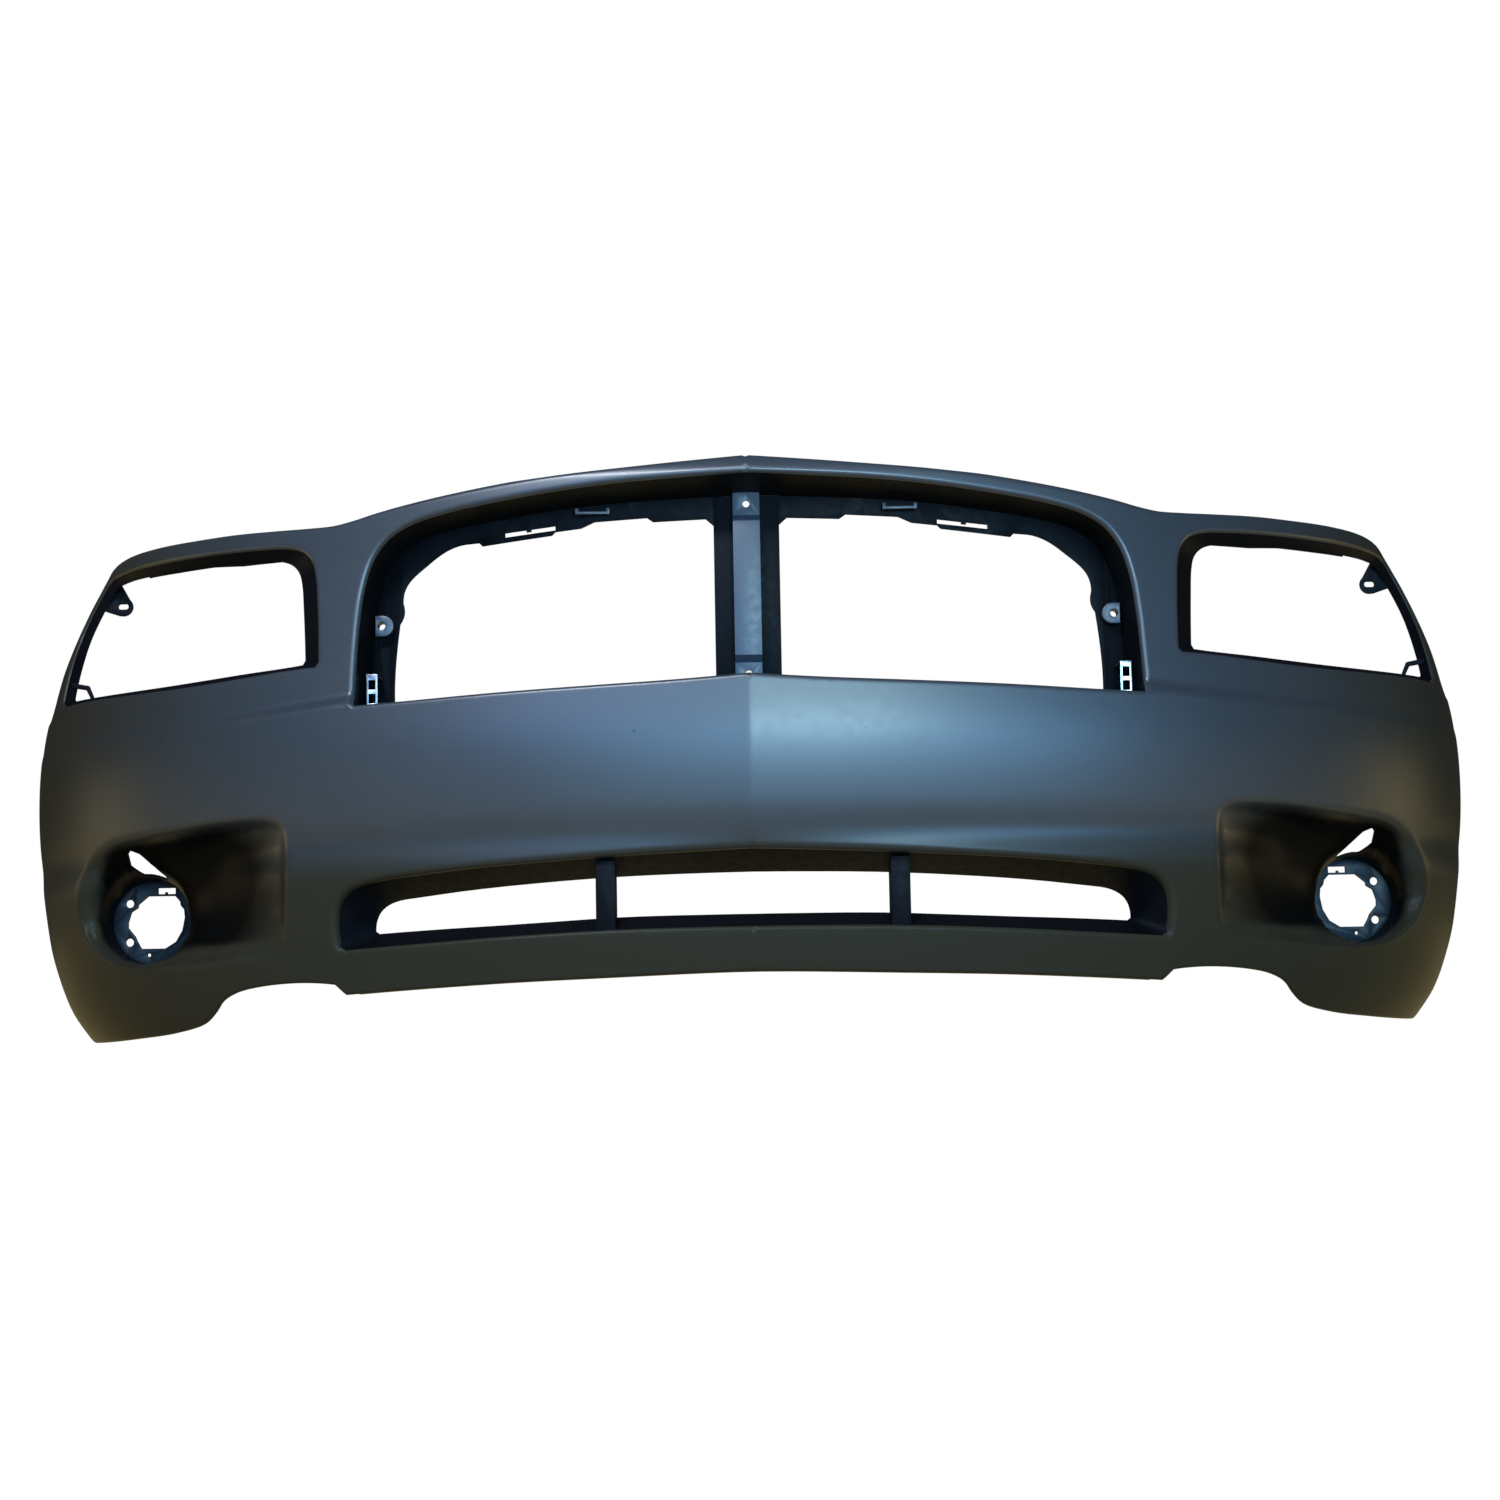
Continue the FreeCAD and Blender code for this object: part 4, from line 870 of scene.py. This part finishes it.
FINISH = {
    "primer": finish_material(
        "satin_primer", tones=((0.015, 0.019, 0.024), (0.018, 0.022, 0.027)), tone_scale=2.2,
        speck=(0.05, 0.06, 0.065), speck_amount=0.08, rough=(0.365, 0.39),
        grain_scale=1500.0, ripple_scale=90.0, grain=0.9, bump=0.03,
        side_shade=((0.0165, 0.0140, 0.0080), 0.92)),
    # Painted shade: the returns, flanges and brackets in the recesses are the skin's primer,
    # painted near black for the shade they lie in.
    "primed_return": finish_material(
        "recess_primer_painted_shade", tones=((0.0012, 0.0016, 0.0024), (0.002, 0.0025, 0.0035)),
        tone_scale=6.0, speck=(0.01, 0.012, 0.014), speck_amount=0.08, rough=(0.42, 0.55),
        grain_scale=1100.0, ripple_scale=120.0, grain=0.6, bump=0.12, specular=0.04),
    "post": finish_material(
        "primed_post", tones=((0.014, 0.022, 0.034), (0.019, 0.028, 0.040)), tone_scale=8.0,
        speck=(0.05, 0.06, 0.07), speck_amount=0.08, rough=(0.38, 0.48),
        grain_scale=1300.0, ripple_scale=110.0, grain=0.6, bump=0.10, specular=0.36),
    # Painted shade: the lamp seat ring is primer painted dark for the shade it sits in down the
    # scoop.
    "seat": finish_material(
        "lamp_seat_painted_shade", tones=((0.004, 0.006, 0.009), (0.006, 0.008, 0.011)), tone_scale=8.0,
        speck=(0.03, 0.04, 0.04), speck_amount=0.08, rough=(0.40, 0.48),
        grain_scale=1300.0, ripple_scale=110.0, grain=0.6, bump=0.10, specular=0.16),
    "retainer": finish_material(
        "spring_steel", tones=((0.20, 0.21, 0.22), (0.30, 0.31, 0.32)), tone_scale=60.0,
        speck=(0.12, 0.12, 0.11), speck_amount=0.3, rough=(0.26, 0.45),
        grain_scale=900.0, ripple_scale=200.0, grain=0.5, bump=0.15, metallic=1.0),
    "stake": finish_material(
        "melted_stake", tones=((0.008, 0.008, 0.009), (0.014, 0.014, 0.015)), tone_scale=30.0,
        speck=(0.04, 0.04, 0.04), speck_amount=0.1, rough=(0.35, 0.6),
        grain_scale=700.0, ripple_scale=150.0, grain=0.5, bump=0.3),
}
# The finish goes by the first of these that a piece's name holds; any other piece gets the
# painted shade of the recesses.
FINISH_BY_NAME = (("skin", "primer"), ("side_clip", "retainer"), ("top_clip", "post"),
                  ("stakes", "stake"), ("lamp_ring", "seat"), ("post", "post"), ("ear", "post"))
POST_FACE_HALF = 0.0158


def finish_pieces():
    """Gives every mesh in the scene its finish."""
    for piece in bpy.context.scene.objects:
        if piece.type != "MESH":
            continue
        matches = [finish for part, finish in FINISH_BY_NAME if part in piece.name]
        piece.data.materials.clear()
        piece.data.materials.append(FINISH[matches[0] if matches else "primed_return"])
        if "post" in piece.name:
            # Only the post's face gets the post finish; its webs and foot lie in the recess and
            # get painted shade.
            piece.data.materials.append(FINISH["primed_return"])
            for face in piece.data.polygons:
                face.material_index = int(abs(face.center.x) > POST_FACE_HALF)


# ------------------------------------------ build
def plan_plus(depth):
    """The back depth of a return that follows the plan curve."""
    return lambda line: plan_curve(line[:, 0]) + depth


build_skin()
build_return("grille_return", GRILLE_MOUTH, GRILLE_BACK, GRILLE_ROLLS, plan_plus(GRILLE_DEPTH),
             True, "grille_surround")
build_return("intake_return", INTAKE_MOUTH, INTAKE_BACK, INTAKE_ROLLS, plan_plus(INTAKE_DEPTH),
             True, "intake_surround")
lamp_return = build_return("headlamp_return_left", HEADLAMP_MOUTH, HEADLAMP_BACK, LAMP_ROLLS,
                           lambda line: face_y(line[:, 0], line[:, 1]) + HEADLAMP_DEPTH, False,
                           "headlamp_surround_left", rows=8)
mirror_copy(lamp_return, "headlamp_return_right", "headlamp_surround_right")

for base in ("grille_flange", "grille_ear", "headlamp_bracket", "headlamp_corner_tab",
             "headlamp_side_hook", "intake_rib", "fog_lamp_ring", "fender_flange",
             "arch_flange", "upper_tab"):
    for side in ("left", "right"):
        dress(base + "_" + side)
for base in ("grille_side_clip", "grille_top_clip"):
    for side in ("left", "right"):
        dress(base + "_" + side, edge=0.3)
for node in ("grille_centre_post", "intake_flange", "lower_flange"):
    dress(node)
dress("heat_stakes", edge=0.8, segments=3)
finish_pieces()


# ------------------------------------------ studio
def split_by_camera(tree, felt, seen, output):
    """Shows one shader to the camera and lets the part feel another."""
    path = add(tree, "ShaderNodeLightPath")
    mix = add(tree, "ShaderNodeMixShader")
    wire(tree, (path, "Is Camera Ray", mix, "Fac"), (felt, 0, mix, 1), (seen, 0, mix, 2),
         (mix, "Shader", output, "Surface"))


def studio_material(name, glow):
    """A stage surface that reads as plain white and gives the part a faint warm bounce."""
    mat = bpy.data.materials.new(name)
    mat.use_nodes = True
    tree = mat.node_tree
    tree.nodes.remove(tree.nodes["Principled BSDF"])
    white = add(tree, "ShaderNodeEmission")
    bounce = add(tree, "ShaderNodeEmission", {"Color": (*glow, 1)})
    split_by_camera(tree, bounce, white, tree.nodes["Material Output"])
    return mat


def softbox(name, spot, target, size, power, colour):
    """A rectangular light at a spot, aimed at a target; metres and watts."""
    data = bpy.data.lights.new(name, "AREA")
    data.shape = "RECTANGLE"
    data.size, data.size_y = size
    data.energy = power
    data.color = colour
    obj = put_in_scene(name, data)
    obj.location = spot
    obj.rotation_euler = (Vector(target) - Vector(spot)).to_track_quat("-Z", "Y").to_euler()


FLOOR_Z = cad_box[0][2] - 0.42
bpy.ops.object.select_all(action="DESELECT")
bpy.ops.mesh.primitive_plane_add(size=24, location=(0, 0.4, FLOOR_Z))
floor = bpy.context.object
floor.name = "studio_floor"
floor.data.materials.append(studio_material("studio_white", (0.62, 0.51, 0.24)))

bpy.context.scene.view_settings.view_transform = "Standard"
world = bpy.data.worlds.new("studio_world")
bpy.context.scene.world = world
world.use_nodes = True
seen = world.node_tree.nodes["Background"]
seen.inputs["Color"].default_value = (1, 1, 1, 1)
seen.inputs["Strength"].default_value = 1.0
felt = add(world.node_tree, "ShaderNodeBackground", {"Color": (0.95, 0.97, 1.0, 1),
                                                     "Strength": 0.06})
split_by_camera(world.node_tree, felt, seen, world.node_tree.nodes["World Output"])

BLUE, PALE_CYAN, VIOLET = (0.17, 0.52, 1.0), (0.62, 0.94, 1.0), (0.22, 0.44, 1.0)
DAYLIGHT, AMBER, PALE_AMBER = (0.78, 0.86, 1.0), (1.0, 0.78, 0.34), (1.0, 0.78, 0.40)
softbox("wide_softbox", (0.70, -3.3, -0.20), (0.0, 0.0, -0.30), (3.4, 1.2), 150, BLUE)
softbox("key_softbox", (0.60, -3.2, 0.20), (0.1, 0.0, -0.30), (0.50, 0.35), 72, PALE_CYAN)
softbox("violet_softbox", (-1.2, -3.0, 0.4), (-0.2, 0.0, -0.2), (1.0, 0.8), 24, VIOLET)
softbox("top_softbox", (-0.9, -2.1, 1.7), (-0.15, 0.05, 0.0), (1.0, 0.35), 150, DAYLIGHT)
softbox("warm_right", (3.4, 0.7, -0.6), (0.9, 0.4, -0.5), (1.0, 0.8), 8, AMBER)
softbox("warm_left", (-3.4, 0.7, -0.6), (-0.9, 0.4, -0.5), (1.0, 0.8), 6, PALE_AMBER)

# ------------------------------------------ camera
CAMERA_SPOT = (-10.28, -3131.36, -15.8)  # nose frame, millimetres
camera_data = bpy.data.cameras.new("camera")
camera_data.sensor_width = 36.0
camera_data.lens = 67.846
camera_data.clip_end = 60.0
camera = put_in_scene("camera", camera_data)
bpy.context.scene.camera = camera
look = Vector((0.00301, 0.99452, 0.10453)).normalized()
right = Vector((0.99983, -0.00109, -0.01847))
right = (right - look * right.dot(look)).normalized()
up = right.cross(look)
spot = (Vector(CAMERA_SPOT) - Vector(TAB_LIFT.tolist())) * MM
columns = (right, up, -look, spot)
camera.matrix_world = Matrix([[c[k] for c in columns] for k in range(3)] + [[0, 0, 0, 1]])
